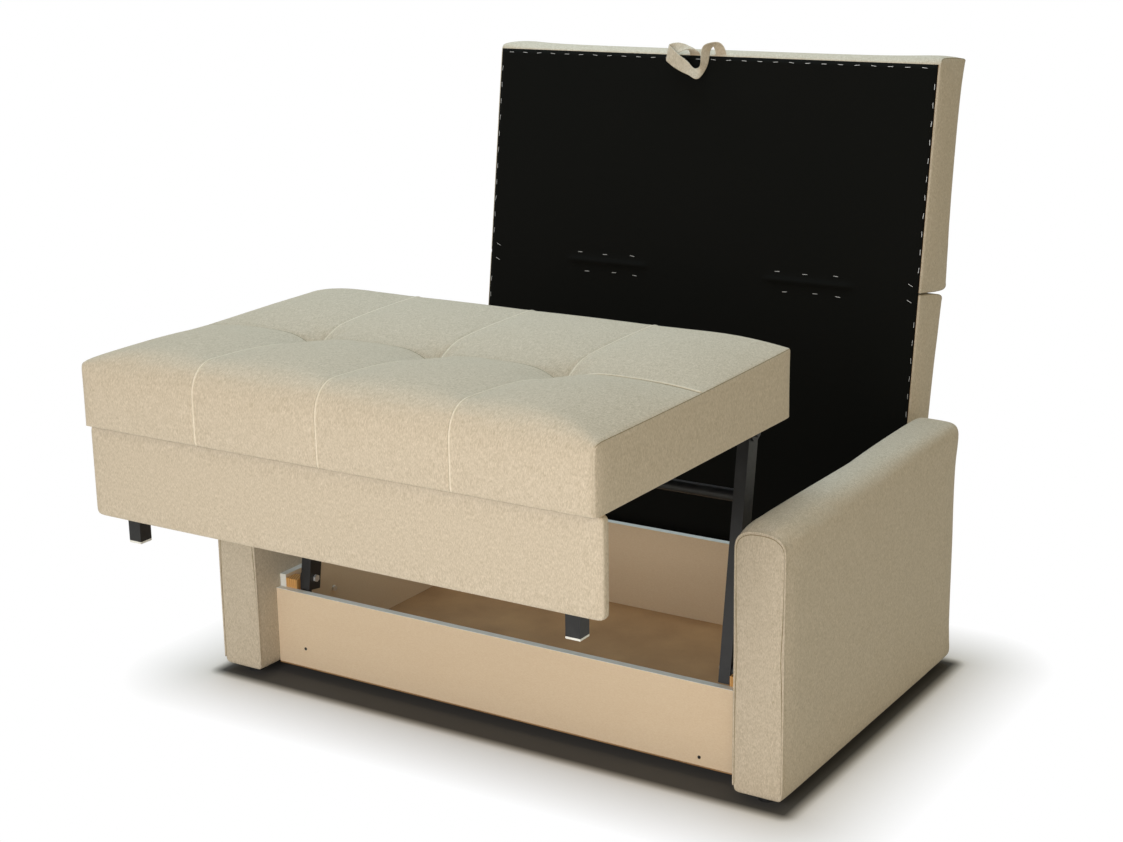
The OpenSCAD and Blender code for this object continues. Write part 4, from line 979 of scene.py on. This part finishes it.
# The back is two padded frames in the same cover, one above the other. Their cushions face the rear and
# show plain rounded sides, and the cover wraps a little way over the black face.
joint_places = {joint["name"]: joint["pos_m"] for joint in frame["joints"]}
hinge = joint_places["upper_fold"]
# The black face leans back by 7.9 degrees: the ways straight behind it and up along it
BACK_N = np.array((0, 0.99051, -0.13744))
BACK_U = np.array((0, 0.13744, 0.99051))
# The black face lies 3 mm behind the line of the fold
FACE_BEHIND = 0.003
BACK_ORIGIN = np.array((0, hinge[1], hinge[2])) + BACK_N * FACE_BEHIND
BACK_HALF = 0.574
# Rounds seen from the side: at the fold in front, far in front, far behind, and at the fold behind
BACK_SIDE_ROUNDS = (0.003, 0.021, 0.015, 0.024)
# Rounds seen from above: both in front, then both behind
BACK_TOP_ROUNDS = (0.004, 0.004, 0.013, 0.013)
# Rounds of the corners seen from the front: at the fold, and at the far end
BACK_FOLD_CORNER, BACK_FAR_CORNER = 0.004, 0.010
# Behind the first 50 mm, the end at the fold draws back by up to 7 mm
FOLD_DRAW, FOLD_DRAW_START = 0.007, 0.05
# The cushion starts behind the lining, swells, and may stand out at the sides by this much
LINING_ROOM, BACK_SWELL, BACK_MOST_OUT = 0.0012, 0.008, 0.006
BACK_CROWN = 0.003
BACK_NEAR = (0.005, 0.013)


def on_back(x, n, u):
    """Points in the sofa's frame from places across, behind and up the back's face."""
    return x[:, None] * np.array((1, 0, 0)) + n[:, None] * BACK_N + u[:, None] * BACK_U + BACK_ORIGIN


def back_cushion(name, node, body, fold_u, far_u, thick, lift=0.0, sag=0.0):
    """One cushion of the back, from its end at the fold to its far end.

    From the side and from above it is a rectangle with rounded corners. The rear face is crowned, and the far
    end rises to the rear at its two corners and sags between them."""
    length, deep, way = abs(far_u - fold_u), thick - BACK_CROWN, math.copysign(1, far_u - fold_u)
    numbers, (x, n, v), faces = block_skin([grid_lines([-BACK_HALF, BACK_HALF], BACK_NEAR, 0.016),
                                            grid_lines([0, deep], BACK_NEAR, 0.014),
                                            grid_lines([0, length], BACK_NEAR, 0.016)])
    ends = numbers.max(axis=0)
    behind = np.clip((n - FOLD_DRAW_START) / (deep - FOLD_DRAW_START), 0, 1)
    draw = FOLD_DRAW * behind ** 2 * (1 - v / length) ** 8
    v, n = rounded_section(v, n, length, deep, BACK_SIDE_ROUNDS)
    v = v + draw
    x, n = rounded_section(x + BACK_HALF, n, 2 * BACK_HALF, deep, BACK_TOP_ROUNDS)
    corner = np.where(v < length / 2, BACK_FOLD_CORNER, BACK_FAR_CORNER)
    x, v = round_corners(x - BACK_HALF, v, BACK_HALF, length, corner)
    middle = half_round(np.clip((x + BACK_HALF) / (2 * BACK_HALF), 0, 1))
    n = n + BACK_CROWN * middle * half_round(np.clip(v / length, 0, 1)) * np.clip(n / thick, 0, 1) ** 3
    # The rise is highest at the far end, and fades out over the last third of the way there
    ear, share = np.clip(np.abs(x) / BACK_HALF, 0, 1) ** 6, np.clip(n / deep, 0, 1)
    rise = lift * ear * share ** 0.6 * (1 - 0.25 * share ** 2) - sag * (1 - ear) * share
    v = v + rise * np.clip(v / length, 0, 1) ** 8
    n = n + LINING_ROOM
    points = on_back(x, n, fold_u + way * v)
    piece = mesh_piece(name, points, faces if way > 0 else faces[:, ::-1], WEAVE)
    at_corner = np.isin(numbers[:, 0], (0, ends[0])) & np.isin(numbers[:, 2], (0, ends[2]))
    points = swell(piece, (n < 0.005) | (numbers[:, 2] == 0) | at_corner, BACK_SWELL)
    points[:, 0] = np.clip(points[:, 0], -BACK_HALF - BACK_MOST_OUT, BACK_HALF + BACK_MOST_OUT)
    set_points(piece, points)
    finish_cover(piece, body, node)
    tree, parts = skin_tree(piece), []
    # Thin tubes along both side outlines are darkened as painted shade in the creases there
    for side in (0, ends[0]):
        keys = [(side, k, ends[2]) for k in range(ends[1] + 1)]
        keys += [(side, ends[1], k) for k in range(ends[2] - 1, -1, -1)]
        keys += [(side, k, 0) for k in range(ends[1] - 1, 0, -1)]
        parts.append(crease_along(tree, sampled(picked(points, numbers, keys), 0.006)))
    sewn_on(f"{name}_creases", parts, CREASE_SHADE, body)


back_cushion("back_upper_padding", "back_upper_cushion", "back_upper",
             fold_u=0.001, far_u=0.512, thick=0.163, lift=0.018, sag=0.007)
back_cushion("back_lower_padding", "back_lower_cushion", "back_lower",
             fold_u=-0.001, far_u=-0.645, thick=0.146)


# One sheet of black lining closes the open side of both frames. It is stapled along its edges and over
# the webbing at the fold, where the real sheet bends as the upper section comes down; here it is one fixed
# sheet.
LINING_HALF, LINING_TOP, LINING_FOOT = 0.569, 0.500, -0.633
LINING_FACES = (-0.0001, 0.0007)
WEBBING_X = (-0.230, 0.302)
# The bell over a webbing: its half width, the width of its edges, its height, and its reach up and down
BELL_HALF, BELL_EDGE, BELL_HIGH, BELL_REACH = 0.115, 0.020, 0.0052, 0.0075


def lining_sheet():
    """A thin slab over both frames. Over each webbing it stands out in a low bell to clear the loops."""
    # Its grid lines are closer together at the fold, where it bends
    up_lines = np.concatenate([even_lines(LINING_FOOT, -0.012, 0.0115), even_lines(-0.010, 0.010, 0.0025),
                               even_lines(0.012, LINING_TOP, 0.0115)])
    _, (x, n, u), faces = block_skin([even_lines(-LINING_HALF, LINING_HALF, 0.010), np.array(LINING_FACES),
                                      up_lines])
    bulge = np.zeros_like(x)
    for middle in WEBBING_X:
        spread = np.clip((BELL_HALF - np.abs(x - middle)) / BELL_EDGE, 0, 1)
        spread = spread * spread * (3 - 2 * spread)
        bulge = np.maximum(bulge, BELL_HIGH * spread * np.exp(-(u / BELL_REACH) ** 2))
    return mesh_piece("back_lining", on_back(x, n - bulge, u), faces, LINING)


lining = lining_sheet()
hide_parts("back_lower_cloth", "back_upper_cloth")
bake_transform(lining)


# The pull strap is a ribbon of the cover, sewn into the top edge at both ends. It hangs in front of the back
# in a loose loop to the left and a small one on the right, with a turn at its lowest point.
STRAP_THICK = 0.0016


def strap_edges():
    """Both edges of the ribbon, listed one by one.

    A row is two points of three numbers, in millimetres: across, behind the face and up from the fold."""
    return np.array([
        (-20, 8, 499, -46, 8, 500), (-18, 0, 508, -44, -1, 507), (-28, 0, 514, -41, -14, 514),
        (-44, -3, 521, -49, -21, 511), (-62, -8, 528, -62, -20, 503), (-78, -13, 528, -78, -22, 496),
        (-90, -21, 523, -93, -24, 488), (-85, -27, 521, -90, -28, 484), (-74, -29, 513, -84, -29, 480),
        (-58, -30, 500, -70, -30, 471), (-42, -31, 491, -55, -31, 464), (-30, -31, 484, -37, -34, 457),
        (-23, -28, 475, -21, -36, 453), (-16, -25, 468, -10, -36, 445), (-9, -24, 470, 0, -31, 444),
        (-2, -27, 473, 3, -18, 456), (2, -30, 479, 9, -12, 472), (2, -30, 491, 12, -10, 485),
        (0, -29, 503, 12, -8, 500), (0, -27, 513, 11, -5, 511), (2, -24, 522, 13, -2, 518),
        (9, -19, 528, 16, 1, 523), (22, -14, 531, 15, 4, 522), (31, -8, 533, 17, 5, 518),
        (39, -1, 529, 19, 6, 513), (45, 4, 519, 20, 8, 507), (48, 9, 502, 22, 9, 500)
    ]) / 1000


def strap_ribbon():
    """A band between the two edges, a little hollow across, with a thicker hem along both edges."""
    rows = strap_edges()
    knots = np.arange(len(rows))
    at = np.linspace(0, len(rows) - 1, 4 * len(rows) - 3)
    rows = np.stack([np.interp(at, knots, rows[:, i]) for i in range(6)], axis=1)
    for _ in range(6):
        rows[1:-1] = (rows[:-2] + 2 * rows[1:-1] + rows[2:]) / 4
    first, second = on_back(*rows[:, :3].T), on_back(*rows[:, 3:].T)
    middle, half = (first + second) / 2, (first - second) / 2
    thick = np.cross(np.gradient(middle, axis=0), half)
    thick /= np.linalg.norm(thick, axis=1)[:, None]
    # Shares of half the width and of half the thickness round the band's section
    section = np.array([(-1, -0.6), (-0.9, -1.2), (-0.75, -1), (-0.3, -0.8), (0.3, -0.8), (0.75, -1),
                        (0.9, -1.2), (1, -0.6), (1, 0.6), (0.9, 1.2), (0.75, 1), (0.3, 1.2), (-0.3, 1.2),
                        (-0.75, 1), (-0.9, 1.2), (-1, 0.6)])
    rings = (middle[:, None] + half[:, None] * section[:, 0][None, :, None]
             + thick[:, None] * (section[:, 1] * STRAP_THICK / 2)[None, :, None])
    count, sides = len(middle), len(section)
    faces = [(ring + j, ring + sides + j, ring + sides + (j + 1) % sides, ring + (j + 1) % sides)
             for ring in range(0, (count - 1) * sides, sides) for j in range(sides)]
    caps = [tuple(range(sides)), tuple(range((count - 1) * sides, count * sides))[::-1]]
    return rings.reshape(-1, 3), faces + caps


strap = joined_piece("pull_strap_ribbon", [strap_ribbon()], WEAVE)
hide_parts("pull_strap")
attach(strap, "back_upper")
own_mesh(strap)
